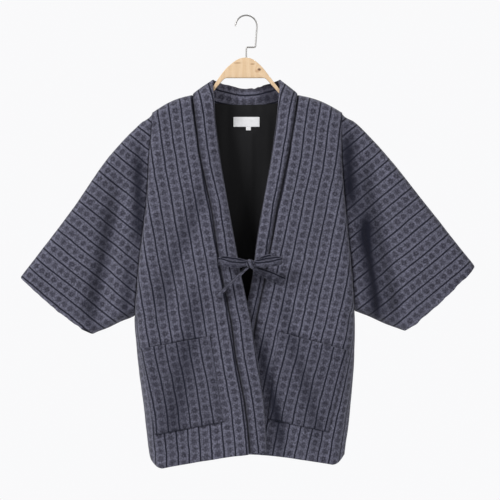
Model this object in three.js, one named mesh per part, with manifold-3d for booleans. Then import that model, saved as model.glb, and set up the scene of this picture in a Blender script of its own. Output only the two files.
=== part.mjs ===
// A padded hanten jacket, tied at the front and hung on a flat wooden hanger with a wire hook.
// Millimetres, +Z up, the jacket's front towards -Y. The origin is the point where the hook bears on its rod.
// "right" and "left" are the wearer's, so the right front is at -X. "down" is the distance below the origin.
import * as THREE from "three";
import { mergeVertices } from "three/addons/utils/BufferGeometryUtils.js";
import Module from "manifold-3d";

const { lerp, clamp, smoothstep } = THREE.MathUtils;
const vec = (x, y, z) => new THREE.Vector3(x, y, z);
const solids = await Module();
solids.setup();

// Driving sizes.

const cloth = { wall: 8, lining: 1.5, pocket: 4, tie: 2.4, gap: 0.3 };
const shoulder = { neckDown: 162, tipDown: 198, crown: 6, roll: 20, depth: 20 };
const body = { roll: 30, hemCentreDown: 893, hemCorner: 20, cornerShare: 0.12, lapStart: 420, lapEnd: 560 };
const neckline = { drop: 20, rise: 12, bulge: 10, fade: 140 };
const collar = { front: 3, back: 9, full: 38, tuck: 5, turnDrop: 44 };
const grid = { roll: 3, armhole: 8, skirt: 10, front: 8, shoulder: 3, neck: 4, sleeve: 11 };

// How far the cloth stands out to the front and back of the hanger's plane.
const depths = [
  { down: 198, front: 20, back: 20 },
  { down: 300, front: 30, back: 28 },
  { down: 450, front: 36, back: 32 },
  { down: 620, front: 38, back: 34 },
  { down: 760, front: 42, back: 38 },
  { down: 920, front: 42, back: 38 },
];

// The two sides hang a little differently. out is the distance from the middle towards the wearer's own side.
const right = {
  name: "right",
  sign: -1,
  lap: 9,
  hemDrop: 34,
  hemBend: 1.2,
  underarmDown: 614,
  outline: [
    { down: 198, out: 193 },
    { down: 237, out: 195 },
    { down: 288, out: 200 },
    { down: 380, out: 205 },
    { down: 442, out: 213 },
    { down: 522, out: 222 },
    { down: 614, out: 229 },
    { down: 685, out: 225 },
    { down: 728, out: 220 },
    { down: 797, out: 211 },
    { down: 879, out: 201 },
    { down: 907, out: 196 },
  ],
  opening: [
    { down: 162, seam: 112, edge: 68 },
    { down: 206, seam: 105, edge: 64 },
    { down: 284, seam: 95, edge: 54 },
    { down: 347, seam: 82, edge: 44 },
    { down: 402, seam: 70, edge: 34 },
    { down: 457, seam: 62, edge: 24 },
    { down: 540, seam: 48, edge: 8 },
    { down: 626, seam: 31, edge: -10 },
    { down: 694, seam: 22, edge: -21 },
    { down: 745, seam: 12, edge: -29 },
    { down: 800, seam: 2, edge: -37 },
    { down: 893, seam: -8, edge: -41 },
  ],
  sleeve: [
    { along: 0, topOut: 193, topDown: 198, lowOut: 229, lowDown: 614, depth: 20 },
    { along: 0.1, topOut: 226, topDown: 228, lowOut: 238, lowDown: 619, depth: 23 },
    { along: 0.3, topOut: 286, topDown: 293, lowOut: 255, lowDown: 626, depth: 27 },
    { along: 0.6, topOut: 358, topDown: 397, lowOut: 281, lowDown: 638, depth: 27 },
    { along: 1, topOut: 462, topDown: 534, lowOut: 316, lowDown: 652, depth: 24 },
  ],
  sleeveFolds: [
    { outFrom: 206, downFrom: 250, outTo: 302, downTo: 640, width: 30, depth: 11 },
    { outFrom: 330, downFrom: 430, outTo: 372, downTo: 600, width: 24, depth: 4 },
  ],
  pocket: {
    top: { outer: 683, inner: 656 },
    low: { outer: 856, inner: 829 },
    outer: { top: -217, low: -185 },
    inner: { top: -74, low: -48 },
  },
};

const left = {
  name: "left",
  sign: 1,
  lap: -9,
  hemDrop: 26,
  hemBend: 1.5,
  underarmDown: 604,
  outline: [
    { down: 198, out: 196 },
    { down: 241, out: 195 },
    { down: 314, out: 197 },
    { down: 401, out: 204 },
    { down: 497, out: 214 },
    { down: 604, out: 222 },
    { down: 711, out: 221 },
    { down: 758, out: 217 },
    { down: 837, out: 209 },
    { down: 903, out: 200 },
  ],
  opening: [
    { down: 162, seam: 106, edge: 65 },
    { down: 206, seam: 99, edge: 62 },
    { down: 284, seam: 86, edge: 51 },
    { down: 347, seam: 73, edge: 40 },
    { down: 402, seam: 61, edge: 30 },
    { down: 457, seam: 52, edge: 21 },
    { down: 540, seam: 37, edge: 10 },
    { down: 616, seam: 21, edge: -6 },
    { down: 655, seam: 14, edge: -14 },
    { down: 745, seam: 5, edge: -26 },
    { down: 893, seam: -8, edge: -38 },
  ],
  sleeve: [
    { along: 0, topOut: 196, topDown: 198, lowOut: 222, lowDown: 604, depth: 20 },
    { along: 0.1, topOut: 231, topDown: 225, lowOut: 231, lowDown: 608, depth: 23 },
    { along: 0.3, topOut: 290, topDown: 289, lowOut: 252, lowDown: 617, depth: 27 },
    { along: 0.6, topOut: 363, topDown: 380, lowOut: 281, lowDown: 630, depth: 27 },
    { along: 1, topOut: 467, topDown: 512, lowOut: 324, lowDown: 645, depth: 24 },
  ],
  sleeveFolds: [
    { outFrom: 205, downFrom: 240, outTo: 262, downTo: 610, width: 26, depth: 13 },
    { outFrom: 330, downFrom: 420, outTo: 360, downTo: 600, width: 24, depth: 4 },
  ],
  pocket: {
    top: { outer: 687, inner: 647 },
    low: { outer: 850, inner: 824 },
    outer: { top: 208, low: 166 },
    inner: { top: 65, low: 43 },
  },
};

// Soft vertical folds of the body: out is from the middle, towards the wearer's left if positive.
const frontFolds = [
  { outFrom: -172, downFrom: 330, outTo: -158, downTo: 640, width: 20, depth: 3 },
  { outFrom: 168, downFrom: 360, outTo: 150, downTo: 640, width: 20, depth: 3 },
  { outFrom: 96, downFrom: 600, outTo: 84, downTo: 880, width: 24, depth: 3 },
];
const backFolds = [
  { outFrom: -128, downFrom: 300, outTo: -150, downTo: 860, width: 26, depth: 5 },
  { outFrom: -40, downFrom: 420, outTo: -46, downTo: 900, width: 24, depth: 4 },
  { outFrom: 62, downFrom: 360, outTo: 70, downTo: 900, width: 26, depth: 5 },
  { outFrom: 150, downFrom: 320, outTo: 160, downTo: 820, width: 24, depth: 4 },
];

// The collar's free edge round the neck: turn is 0 on the chest, 1 on the shoulder, 2 at the centre back.
const neckEdge = [
  { turn: 0.55, out: 66, y: -24, down: 170 },
  { turn: 1, out: 69, y: -2, down: 132 },
  { turn: 1.25, out: 64, y: 18, down: 131 },
  { turn: 1.5, out: 45, y: 25, down: 138 },
  { turn: 2, out: 0, y: 28, down: 147 },
];

// The ties' straps. out is from the middle, towards the wearer's left if positive; lean tips the width over.
const ties = {
  tie_right: [
    { out: -57, y: -44.8, down: 503, width: 16, lean: 0 },
    { out: -48, y: -45.9, down: 503, width: 16, lean: 0 },
    { out: -36, y: -46, down: 504, width: 16, lean: 0 },
    { out: -16, y: -49, down: 506, width: 15, lean: 0 },
    { out: 3, y: -54.5, down: 508, width: 12, lean: 0 },
  ],
  tie_left: [
    { out: 50, y: -33.9, down: 496, width: 16, lean: 0 },
    { out: 40, y: -34.6, down: 498, width: 16, lean: 0 },
    { out: 32, y: -35.2, down: 501, width: 16, lean: 0 },
    { out: 22, y: -43, down: 505, width: 14, lean: 0 },
    { out: 14, y: -54.5, down: 508, width: 12, lean: 0 },
  ],
  tie_loop_right: [
    { out: 4, y: -64.5, down: 505, width: 12, lean: 0 },
    { out: -12, y: -67, down: 503, width: 14, lean: 0 },
    { out: -32, y: -69.5, down: 501, width: 16, lean: -4 },
    { out: -46, y: -69.5, down: 500, width: 16, lean: -6 },
    { out: -52, y: -66, down: 500, width: 16, lean: -8 },
    { out: -47, y: -62.6, down: 502, width: 16, lean: -8 },
    { out: -33, y: -61.6, down: 505, width: 16, lean: -6 },
    { out: -14, y: -61.2, down: 507, width: 14, lean: 0 },
    { out: 4, y: -61, down: 509, width: 10, lean: 0 },
  ],
  tie_loop_left: [
    { out: 12, y: -64.5, down: 505, width: 12, lean: 0 },
    { out: 28, y: -66, down: 503, width: 14, lean: 0 },
    { out: 46, y: -67.5, down: 501, width: 16, lean: 4 },
    { out: 63, y: -67, down: 500, width: 16, lean: 6 },
    { out: 71, y: -63.4, down: 502, width: 15, lean: 8 },
    { out: 64, y: -60, down: 505, width: 15, lean: 8 },
    { out: 46, y: -60, down: 507, width: 15, lean: 6 },
    { out: 28, y: -61, down: 508, width: 14, lean: 0 },
    { out: 12, y: -61, down: 509, width: 10, lean: 0 },
  ],
  tie_tail_right: [
    { out: 5, y: -57.6, down: 511, width: 9, lean: -30 },
    { out: -6, y: -57, down: 523, width: 11, lean: -34 },
    { out: -24, y: -53.5, down: 541, width: 13, lean: -42 },
    { out: -42, y: -50, down: 558, width: 14, lean: -48 },
    { out: -60, y: -47.8, down: 573, width: 14, lean: -52 },
  ],
  tie_tail_left: [
    { out: 13, y: -57.6, down: 512, width: 11, lean: 24 },
    { out: 24, y: -52, down: 521, width: 15, lean: 26 },
    { out: 42, y: -41, down: 529, width: 18, lean: 26 },
    { out: 60, y: -34.8, down: 537, width: 18, lean: 25 },
    { out: 76, y: -32.4, down: 544, width: 18, lean: 25 },
  ],
};
const knot = { out: 8.6, y: -59, down: 508, width: 22, depth: 16, height: 20 };

// The hanger is sawn from flat board; out runs from the wearer's right to the left.
const hanger = {
  thick: 12,
  edge: 1.5,
  outline: [
    { out: -46, down: 127 },
    { out: -64, down: 149 },
    { out: -84, down: 174 },
    { out: -104, down: 184 },
    { out: -134, down: 190 },
    { out: -160, down: 202 },
    { out: -183, down: 219 },
    { out: -188, down: 218 },
    { out: -191, down: 213 },
    { out: -184, down: 203.5 },
    { out: -170, down: 193.5 },
    { out: -150, down: 183 },
    { out: -135, down: 177.5 },
    { out: -118, down: 174.5 },
    { out: -108, down: 174.5 },
    { out: -98, down: 172 },
    { out: -84, down: 165 },
    { out: -74, down: 155 },
    { out: -67, down: 144 },
    { out: -62, down: 134 },
    { out: -40, down: 105 },
    { out: -31, down: 98 },
    { out: -22, down: 91 },
    { out: -12, down: 86.5 },
    { out: -1, down: 85 },
    { out: 11, down: 87.5 },
    { out: 21, down: 95 },
    { out: 35, down: 108 },
    { out: 60, down: 140.5 },
    { out: 66, down: 149 },
    { out: 84, down: 166 },
    { out: 97, down: 174 },
    { out: 108, down: 176 },
    { out: 118, down: 176 },
    { out: 135, down: 179 },
    { out: 150, down: 184 },
    { out: 170, down: 194 },
    { out: 184, down: 203.5 },
    { out: 191, down: 213 },
    { out: 188, down: 218 },
    { out: 183, down: 219 },
    { out: 160, down: 203 },
    { out: 134, down: 192 },
    { out: 104, down: 185 },
    { out: 84, down: 177 },
    { out: 60, down: 150.5 },
    { out: 38, down: 127 },
  ],
};
const hook = {
  radius: 22,
  wire: 3.2,
  stemOut: -0.5,
  footDown: 84.7,
  bendDown: 64,
  bend: 6,
  sideOut: 21.5,
  sweep: 188,
};
const label = { width: 54, height: 20, thick: 0.8, down: 216, tabWidth: 10, tabHeight: 7, tabOut: 4 };

// Reading the tables.

// A smooth curve through one column of a table.
function curveOf(rows, key, name) {
  const slope = (i) => {
    const before = rows[Math.max(i - 1, 0)];
    const after = rows[Math.min(i + 1, rows.length - 1)];
    return (after[name] - before[name]) / (after[key] - before[key]);
  };
  return (value) => {
    const place = clamp(value, rows[0][key], rows[rows.length - 1][key]);
    const i = Math.max(0, rows.findLastIndex((row, k) => k < rows.length - 1 && row[key] <= place));
    const span = rows[i + 1][key] - rows[i][key];
    const t = (place - rows[i][key]) / span;
    const rise = rows[i + 1][name] - rows[i][name];
    const startBend = slope(i) * span - rise;
    const endBend = rise - slope(i + 1) * span;
    return rows[i][name] + rise * t + t * (1 - t) * (startBend * (1 - t) + endBend * t);
  };
}

const frontDepth = curveOf(depths, "down", "front");
const backDepth = curveOf(depths, "down", "back");
for (const side of [right, left]) {
  side.outlineAt = curveOf(side.outline, "down", "out");
  side.seamAt = curveOf(side.opening, "down", "seam");
  side.edgeAt = curveOf(side.opening, "down", "edge");
  side.neckShare = 1 - side.seamAt(shoulder.neckDown) / side.outlineAt(shoulder.tipDown);
  side.armDrop = side.underarmDown - shoulder.tipDown;
  side.bodyDrop = hemAt(side, 0) - shoulder.tipDown;
}

// How far a fold line draws the cloth in at a place.
function foldAt(folds, out, down) {
  return folds.reduce((sum, fold) => {
    const share = clamp((down - fold.downFrom) / (fold.downTo - fold.downFrom), 0, 1);
    const away = out - lerp(fold.outFrom, fold.outTo, share);
    const past = Math.max(fold.downFrom - down, down - fold.downTo, 0);
    return sum + fold.depth * Math.exp(-((away / fold.width) ** 2) - (past / 45) ** 2);
  }, 0);
}

// 0 on a rounded edge, 1 once past its roll.
const rounded = (distance, roll) => Math.sqrt(1 - (1 - clamp(distance / roll, 0, 1)) ** 2);

// Distances down a flattened tube: round its top fold, down its flat, and round its lower fold.
function tubeSteps(length, roll) {
  const turn = (k) => roll * (1 - Math.cos((k / grid.roll) * (Math.PI / 2)));
  const steps = [];
  for (let k = 0; k < grid.roll; k++) steps.push(turn(k));
  for (let k = 0; k <= grid.armhole; k++) steps.push(lerp(roll, length - roll, k / grid.armhole));
  for (let k = grid.roll - 1; k >= 0; k--) steps.push(length - turn(k));
  return steps;
}

// The cloth's outer surfaces.

// The depth of the armhole seam, from the shoulder's fold to the underarm.
function armholeDepth(side, drop) {
  if (drop >= side.armDrop) return 0;
  return shoulder.depth * rounded(drop, shoulder.roll) * rounded(side.armDrop - drop, shoulder.roll);
}

// The shoulder's line, from 0 at the sleeve to 1 at the neck.
function shoulderDown(inward) {
  return lerp(shoulder.tipDown, shoulder.neckDown, inward) - shoulder.crown * Math.sin(Math.PI * inward);
}

function hemAt(side, inward) {
  const corner = body.hemCorner * clamp(1 - inward / body.cornerShare, 0, 1) ** 2;
  return body.hemCentreDown + side.hemDrop * (1 - inward) ** side.hemBend - corner;
}

// A point of a front. drop is down the side from the shoulder's tip; across runs from the side to the collar.
function frontPoint(side, drop, across) {
  const share = drop / side.bodyDrop;
  const seamDown = lerp(shoulder.neckDown, body.hemCentreDown, share);
  const outer = side.outlineAt(shoulder.tipDown + drop);
  const width = outer - side.seamAt(seamDown);
  const rollShare = grid.roll / (grid.roll + grid.front);
  const turn = Math.min(across / rollShare, 1) * (Math.PI / 2);
  const flat = Math.max(across - rollShare, 0) / (1 - rollShare);
  const inward = (body.roll * (1 - Math.cos(turn)) + (width - body.roll) * flat) / width;
  const ridge = shoulderDown(inward);
  const down = lerp(ridge, hemAt(side, inward), share);
  const out = outer - width * inward;
  const edge = armholeDepth(side, drop);
  const lap = side.lap * smoothstep(seamDown, body.lapStart, body.lapEnd) * smoothstep(across, 0.35, 1);
  const full = frontDepth(down) * rounded(drop, shoulder.roll) + lap;
  const depth = lerp(edge, full - foldAt(frontFolds, side.sign * out, down), Math.sin(turn));
  return vec(side.sign * out, -depth, -down);
}

// A point of the back. inward is 0 at the side and 1 at the centre back.
function backPoint(side, drop, inward, roundness) {
  const share = drop / side.bodyDrop;
  const outer = side.outlineAt(shoulder.tipDown + drop);
  const out = outer * (1 - inward);
  const toNeck = clamp(inward / side.neckShare, 0, 1);
  const inNeck = clamp((inward - side.neckShare) / (1 - side.neckShare), 0, 1);
  const hollow = Math.sqrt(1 - (1 - inNeck) ** 2);
  const ridge = shoulderDown(toNeck) + neckline.drop * hollow;
  const down = lerp(ridge, hemAt(side, inward), share);
  const cover = drop + (neckline.drop + neckline.rise) * hollow;
  const bulge = neckline.bulge * hollow * clamp(1 - drop / neckline.fade, 0, 1);
  const full = backDepth(down) * rounded(cover, shoulder.roll) + bulge;
  const fold = foldAt(backFolds, side.sign * out, down) * smoothstep(drop, 60, 160);
  return vec(side.sign * out, lerp(armholeDepth(side, drop), full - fold, roundness), -down);
}

// A point of a sleeve. face is -1 for its front and 1 for its back; step counts down tubeSteps.
function sleevePoint(side, along, step, face) {
  const at = (name) => curveOf(side.sleeve, "along", name)(along);
  const top = new THREE.Vector2(at("topOut"), at("topDown"));
  const low = new THREE.Vector2(at("lowOut"), at("lowDown"));
  const length = along === 0 ? side.armDrop : top.distanceTo(low);
  const fall = tubeSteps(length, shoulder.roll)[step];
  const place = top.clone().lerp(low, fall / length);
  const hang = side.outlineAt(place.y) - place.x;
  place.x += along === 0 ? hang : 0;
  const cuffBow = 4 * smoothstep(along, 0.6, 1) * Math.sin((Math.PI * fall) / length);
  place.add(new THREE.Vector2(low.y - top.y, top.x - low.x).normalize().multiplyScalar(cuffBow));
  const lift = rounded(fall, shoulder.roll) * rounded(length - fall, shoulder.roll);
  const fold = foldAt(side.sleeveFolds, place.x, place.y) * smoothstep(along, 0, 0.2);
  return vec(side.sign * place.x, face * lift * (at("depth") - fold), -place.y);
}

// Making closed solids.

// Turns a list of triangles into a mesh whose faces point outwards.
function solid(name, material, triangles) {
  const volume = triangles.reduce((sum, [a, b, c]) => sum + a.dot(b.clone().cross(c)), 0);
  const corners = volume < 0 ? triangles.map(([a, b, c]) => [a, c, b]) : triangles;
  const geometry = new THREE.BufferGeometry().setFromPoints(corners.flat());
  geometry.computeVertexNormals();
  const mesh = new THREE.Mesh(geometry, material);
  mesh.name = name;
  return mesh;
}

const quad = (a, b, c, d) => [
  [a, b, c],
  [a, c, d],
];

// Triangles between two rows of points, which may close into rings.
function strip(rowA, rowB, closed) {
  const made = [];
  const last = closed ? rowA.length : rowA.length - 1;
  for (let i = 0; i < last; i++) {
    const next = (i + 1) % rowA.length;
    made.push(...quad(rowA[i], rowA[next], rowB[next], rowB[i]));
  }
  return made;
}

// The outward normal at each point of a grid of points. sense is 1 or -1.
function normalsOf(rows, closed, sense) {
  const count = rows[0].length;
  const column = (j) => (closed ? (j + count) % count : clamp(j, 0, count - 1));
  return rows.map((row, i) =>
    row.map((_, j) => {
      const down = rows[Math.min(i + 1, rows.length - 1)][j].clone().sub(rows[Math.max(i - 1, 0)][j]);
      const sideways = row[column(j + 1)].clone().sub(row[column(j - 1)]);
      return down.cross(sideways).normalize().multiplyScalar(sense);
    }),
  );
}

const offset = (rows, normals, distance) =>
  rows.map((row, i) => row.map((point, j) => point.clone().addScaledVector(normals[i][j], distance)));

// A wall of cloth between an outer and an inner grid, with a rounded lip along its last row.
function wall(name, material, outer, inner, closed, lip) {
  const last = outer.length - 1;
  const made = [];
  for (let i = 0; i < last; i++) {
    made.push(...strip(outer[i], outer[i + 1], closed));
    made.push(...turnOver(strip(inner[i], inner[i + 1], closed)));
  }
  const hem = outer[last].map((point, j) => {
    const middle = point.clone().lerp(inner[last][j], 0.5);
    const above = outer[last - 1][j].clone().lerp(inner[last - 1][j], 0.5);
    return middle.clone().add(middle.clone().sub(above).normalize().multiplyScalar(lip));
  });
  made.push(...strip(inner[0], outer[0], closed));
  made.push(...strip(outer[last], hem, closed), ...strip(hem, inner[last], closed));
  if (closed) return solid(name, material, made);
  const end = outer[0].length - 1;
  for (let i = 0; i < last; i++) {
    made.push(...quad(outer[i][0], outer[i + 1][0], inner[i + 1][0], inner[i][0]));
    made.push(...quad(outer[i + 1][end], outer[i][end], inner[i][end], inner[i + 1][end]));
  }
  made.push([outer[last][0], hem[0], inner[last][0]], [hem[end], outer[last][end], inner[last][end]]);
  return solid(name, material, made);
}

const turnOver = (triangles) => triangles.map(([a, b, c]) => [a, c, b]);

// A solid through a list of rings, closed by a fan at each end. The first quads are split the other way.
function loft(name, material, rings, otherWay = 0) {
  const made = [];
  for (let i = 0; i + 1 < rings.length; i++) {
    if (i < otherWay) made.push(...turnOver(strip(rings[i + 1], rings[i], true)));
    else made.push(...strip(rings[i], rings[i + 1], true));
  }
  const fan = (ring, flip) => {
    for (let k = 1; k + 1 < ring.length; k++) {
      made.push(flip ? [ring[0], ring[k], ring[k + 1]] : [ring[0], ring[k + 1], ring[k]]);
    }
  };
  fan(rings[0], false);
  fan(rings[rings.length - 1], true);
  return solid(name, material, made);
}

// Materials.

function paint(color, roughness, metalness = 0) {
  return new THREE.MeshStandardMaterial({ color, roughness, metalness });
}
const stripedCotton = paint(0x4f4f5c, 0.9);
const liningCloth = paint(0x151517, 0.7);
const labelCloth = paint(0xe4e4e6, 0.8);
const wood = paint(0xe6c7a1, 0.55);
const steel = paint(0xb9bbc0, 0.3, 1);

// The body's panels.

// Drops of the grid's rows: down the armhole with the sleeve's steps, then down the side to the hem.
function bodyDrops(side) {
  const drops = tubeSteps(side.armDrop, shoulder.roll);
  for (let k = 1; k <= grid.skirt; k++) drops.push(lerp(side.armDrop, side.bodyDrop, k / grid.skirt));
  return drops;
}

// The direction out of the cloth along the armhole seam, shared by the body and the sleeve.
function armholeNormal(side, drop, face) {
  const step = 0.5;
  const above = Math.max(drop - step, 0);
  const below = Math.min(drop + step, side.armDrop);
  if (drop === 0) return vec(0, 0, 1);
  if (drop === side.armDrop) return vec(0, 0, -1);
  const change = armholeDepth(side, below) - armholeDepth(side, above);
  return vec(0, face * (below - above), change).normalize();
}

// Keeps a panel's edges clear of its neighbours: at the armhole, along the side and on the shoulder.
function trimPanel(side, rows, normals, column, face) {
  const drops = bodyDrops(side);
  const shy = cloth.gap / 2;
  rows.forEach((row, i) => {
    row[column].x -= side.sign * shy;
    row[column].y += face * shy;
    if (drops[i] <= side.armDrop) normals[i][column].copy(armholeNormal(side, drops[i], face));
    else normals[i][column].set(side.sign, 0, 0);
  });
}

function liftOffRidge(rows, normals, face, isRidge) {
  rows[0].forEach((point, j) => {
    if (!isRidge(j)) return;
    point.y = (face * cloth.gap) / 2;
    normals[0][j].set(0, 0, 1);
  });
}

// Turns a normal square to the collar that starts at the seam.
function squareTo(normal, seam, edge) {
  const inward = edge.clone().sub(seam).normalize();
  normal.addScaledVector(inward, -normal.dot(inward));
  if (Math.abs(seam.y) < cloth.gap) normal.y = 0;
  normal.normalize();
}

function frontGrid(side) {
  const columns = grid.roll + grid.front;
  const rows = bodyDrops(side).map((drop) =>
    Array.from({ length: columns + 1 }, (_, j) => frontPoint(side, drop, j / columns)),
  );
  const normals = normalsOf(rows, false, -side.sign);
  trimPanel(side, rows, normals, 0, -1);
  liftOffRidge(rows, normals, -1, () => true);
  bodyDrops(side).forEach((drop, i) => {
    squareTo(normals[i][columns], rows[i][columns], collarEdge(side, 1 - drop / collar.turnDrop, drop));
  });
  return { outer: rows, normals, inner: offset(rows, normals, -cloth.wall) };
}

function frontPanel(side) {
  const { outer, inner } = frontGrid(side);
  return wall("front_" + side.name, stripedCotton, outer, inner, false, 3);
}

// The back's columns: round the side, along the shoulder and along half of the neck.
function backColumns(side, drop) {
  const outer = side.outlineAt(shoulder.tipDown + drop);
  const columns = [];
  for (let k = 0; k < grid.roll; k++) {
    const turn = (k / grid.roll) * (Math.PI / 2);
    columns.push({ inward: (body.roll * (1 - Math.cos(turn))) / outer, roundness: Math.sin(turn) });
  }
  for (let k = 0; k < grid.shoulder; k++) {
    columns.push({ inward: lerp(body.roll / outer, side.neckShare, k / grid.shoulder), roundness: 1 });
  }
  for (let k = 0; k <= grid.neck; k++) {
    columns.push({ inward: lerp(side.neckShare, 1, k / grid.neck), roundness: 1 });
  }
  return columns;
}

function backGrid() {
  const rightDrops = bodyDrops(right);
  const leftDrops = bodyDrops(left);
  const rows = rightDrops.map((drop, i) => {
    const place = (side, own) => (c) => backPoint(side, own, c.inward, c.roundness);
    const half = (side, own) => backColumns(side, own).map(place(side, own));
    const ownLeft = half(left, leftDrops[i]);
    return [...half(right, drop), ...ownLeft.reverse().slice(1)];
  });
  const last = rows[0].length - 1;
  const normals = normalsOf(rows, false, -1);
  trimPanel(right, rows, normals, 0, 1);
  trimPanel(left, rows, normals, last, 1);
  const shoulderColumns = grid.roll + grid.shoulder;
  liftOffRidge(rows, normals, 1, (j) => Math.min(j, last - j) <= shoulderColumns);
  for (let j = shoulderColumns; j <= last - shoulderColumns; j++) {
    const side = j <= last / 2 ? right : left;
    const turn = 1 + (Math.min(j, last - j) - shoulderColumns) / grid.neck;
    squareTo(normals[0][j], rows[0][j], collarEdge(side, turn, 0));
  }
  return { outer: rows, normals, inner: offset(rows, normals, -cloth.wall), shoulderColumns, last };
}

const back = backGrid();
const backPanel = () => wall("back", stripedCotton, back.outer, back.inner, false, 3);

// The lining of the back, which shows through the open neck.
function backLining() {
  const from = grid.roll + 1;
  const crop = (rows) => rows.slice(2, -1).map((row) => row.slice(from - 1, back.last - from + 2));
  const outer = crop(offset(back.outer, back.normals, -cloth.wall - cloth.gap));
  const inner = crop(offset(back.outer, back.normals, -cloth.wall - cloth.gap - cloth.lining));
  return { outer, inner, mesh: wall("lining_back", liningCloth, outer, inner, false, 0.5) };
}

// Sleeves.

function sleeve(side) {
  const steps = tubeSteps(side.armDrop, shoulder.roll);
  const rows = [];
  for (let k = 0; k <= grid.sleeve; k++) {
    const along = (k / grid.sleeve) ** 1.15;
    const front = steps.map((_, step) => sleevePoint(side, along, step, -1));
    const rear = steps.map((_, step) => sleevePoint(side, along, step, 1)).slice(1, -1);
    rows.push([...front, ...rear.reverse()]);
  }
  const normals = normalsOf(rows, true, -side.sign);
  const lower = steps.length - 1;
  rows[0].forEach((point, j) => {
    const step = j <= lower ? j : 2 * lower - j;
    const face = j <= lower ? -1 : 1;
    point.x += (side.sign * cloth.gap) / 2;
    normals[0][j].copy(armholeNormal(side, steps[step], face));
  });
  const inner = offset(rows, normals, -cloth.wall);
  return wall("sleeve_" + side.name, stripedCotton, rows, inner, true, 3);
}

// Collar: one padded band from hem to hem round the neck.

// The band's section: inward from its seam, and out of the cloth.
function collarSection(width) {
  const { front, back: behind } = collar;
  const middle = (front - behind) / 2;
  const [lead, shelf, tip, round] = [6, 14, 4, 12].map((share) => share * Math.min(1, width / collar.full));
  return [
    { inward: cloth.gap, out: -0.5 },
    { inward: lead, out: front - 1 },
    { inward: shelf, out: front },
    { inward: width - round, out: front },
    { inward: width - tip, out: front - 2.5 },
    { inward: width, out: middle },
    { inward: width - tip, out: 2.5 - behind },
    { inward: width - round, out: -behind },
    { inward: shelf, out: -behind },
    { inward: lead, out: 1 - behind },
    { inward: cloth.gap, out: 0.5 - cloth.wall },
  ];
}

function collarRing(seam, edge, normal) {
  const inward = edge.clone().sub(seam);
  const width = inward.length();
  inward.normalize();
  const out = normal.clone().addScaledVector(inward, -normal.dot(inward)).normalize();
  return collarSection(width).map((p) =>
    seam.clone().addScaledVector(inward, p.inward).addScaledVector(out, p.out),
  );
}

// The collar's free edge: turn is below 0 down the front, where drop places it, and above 0 round the neck.
function collarEdge(side, turn, drop) {
  const seam = frontPoint(side, turn > 0 ? collar.turnDrop : drop, 1);
  const chest = vec(side.sign * side.edgeAt(-seam.z), seam.y + collar.tuck, seam.z);
  if (turn <= 0) return chest;
  const at = (name) => curveOf(neckEdge, "turn", name)(turn);
  const own = vec(side.sign * at("out"), at("y"), -at("down"));
  return chest.lerp(own, clamp(turn / neckEdge[0].turn, 0, 1));
}

function collarHalf(side, columns) {
  const panel = frontGrid(side);
  const drops = bodyDrops(side);
  const rings = [];
  for (let i = drops.length - 1; i >= 0; i--) {
    const seam = panel.outer[i][grid.roll + grid.front];
    const edge = collarEdge(side, 1 - drops[i] / collar.turnDrop, drops[i]);
    rings.push(collarRing(seam, edge, panel.normals[i][grid.roll + grid.front]));
  }
  columns.slice(1).forEach((j, k) => {
    const turn = 1 + (k + 1) / grid.neck;
    rings.push(collarRing(back.outer[0][j], collarEdge(side, turn, 0), back.normals[0][j]));
  });
  return rings;
}

function collarBand() {
  const span = Array.from({ length: grid.neck + 1 }, (_, k) => back.shoulderColumns + k);
  const rightHalf = collarHalf(right, span);
  const leftHalf = collarHalf(left, span.map((j) => back.last - j));
  const toShoulder = rightHalf.length - 1 - grid.neck;
  return loft("collar", stripedCotton, [...rightHalf, ...leftHalf.reverse().slice(1)], toShoulder);
}

// Patches that lie on a surface: a layer of it, cut to an outline seen from the front.

function manifoldOf(mesh) {
  const bare = new THREE.BufferGeometry();
  bare.setAttribute("position", mesh.geometry.getAttribute("position"));
  const merged = mergeVertices(bare, 1e-3);
  return new solids.Manifold(
    new solids.Mesh({
      numProp: 3,
      vertProperties: merged.attributes.position.array,
      triVerts: new Uint32Array(merged.index.array),
    }),
  );
}

function meshOf(name, material, manifold) {
  const { vertProperties, triVerts } = manifold.getMesh();
  const geometry = new THREE.BufferGeometry();
  geometry.setAttribute("position", new THREE.BufferAttribute(vertProperties, 3));
  geometry.setIndex([...triVerts]);
  const mesh = new THREE.Mesh(geometry.toNonIndexed(), material);
  mesh.geometry.computeVertexNormals();
  mesh.name = name;
  return mesh;
}

// corners are [out, down] of the outline. The layer starts a seam's gap off the surface.
function patch(name, material, rows, normals, thickness, corners) {
  const inner = offset(rows, normals, cloth.gap);
  const outer = offset(rows, normals, cloth.gap + thickness);
  const layer = manifoldOf(wall(name, material, outer, inner, false, 0.1));
  const shape = new THREE.Shape(corners.map(([out, down]) => new THREE.Vector2(out, -down)));
  const cutter = new THREE.ExtrudeGeometry(shape, { depth: 120, bevelEnabled: false });
  cutter.translate(0, 0, -60).rotateX(Math.PI / 2);
  const cut = layer.intersect(manifoldOf({ geometry: cutter }));
  return meshOf(name, material, cut);
}

// A pocket's outline with its corners softened.
function pocketCorners(side) {
  const { top, low, inner, outer } = side.pocket;
  return [
    [outer.top, top.outer + 2],
    [outer.low, low.outer - 4],
    [outer.low + 4 * Math.sign(inner.low - outer.low), low.outer],
    [inner.low - 4 * Math.sign(inner.low - outer.low), low.inner],
    [inner.low, low.inner - 4],
    [inner.top, top.inner],
    [lerp(outer.top, inner.top, 0.5), lerp(top.outer, top.inner, 0.5)],
    [lerp(outer.top, inner.top, 0.1), lerp(top.outer, top.inner, 0.04)],
  ];
}

function pocket(side) {
  const { outer, normals } = frontGrid(side);
  return patch("pocket_" + side.name, stripedCotton, outer, normals, cloth.pocket, pocketCorners(side));
}

const rectangle = (left, right, top, low) => [
  [left, top],
  [left, low],
  [right, low],
  [right, top],
];

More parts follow.
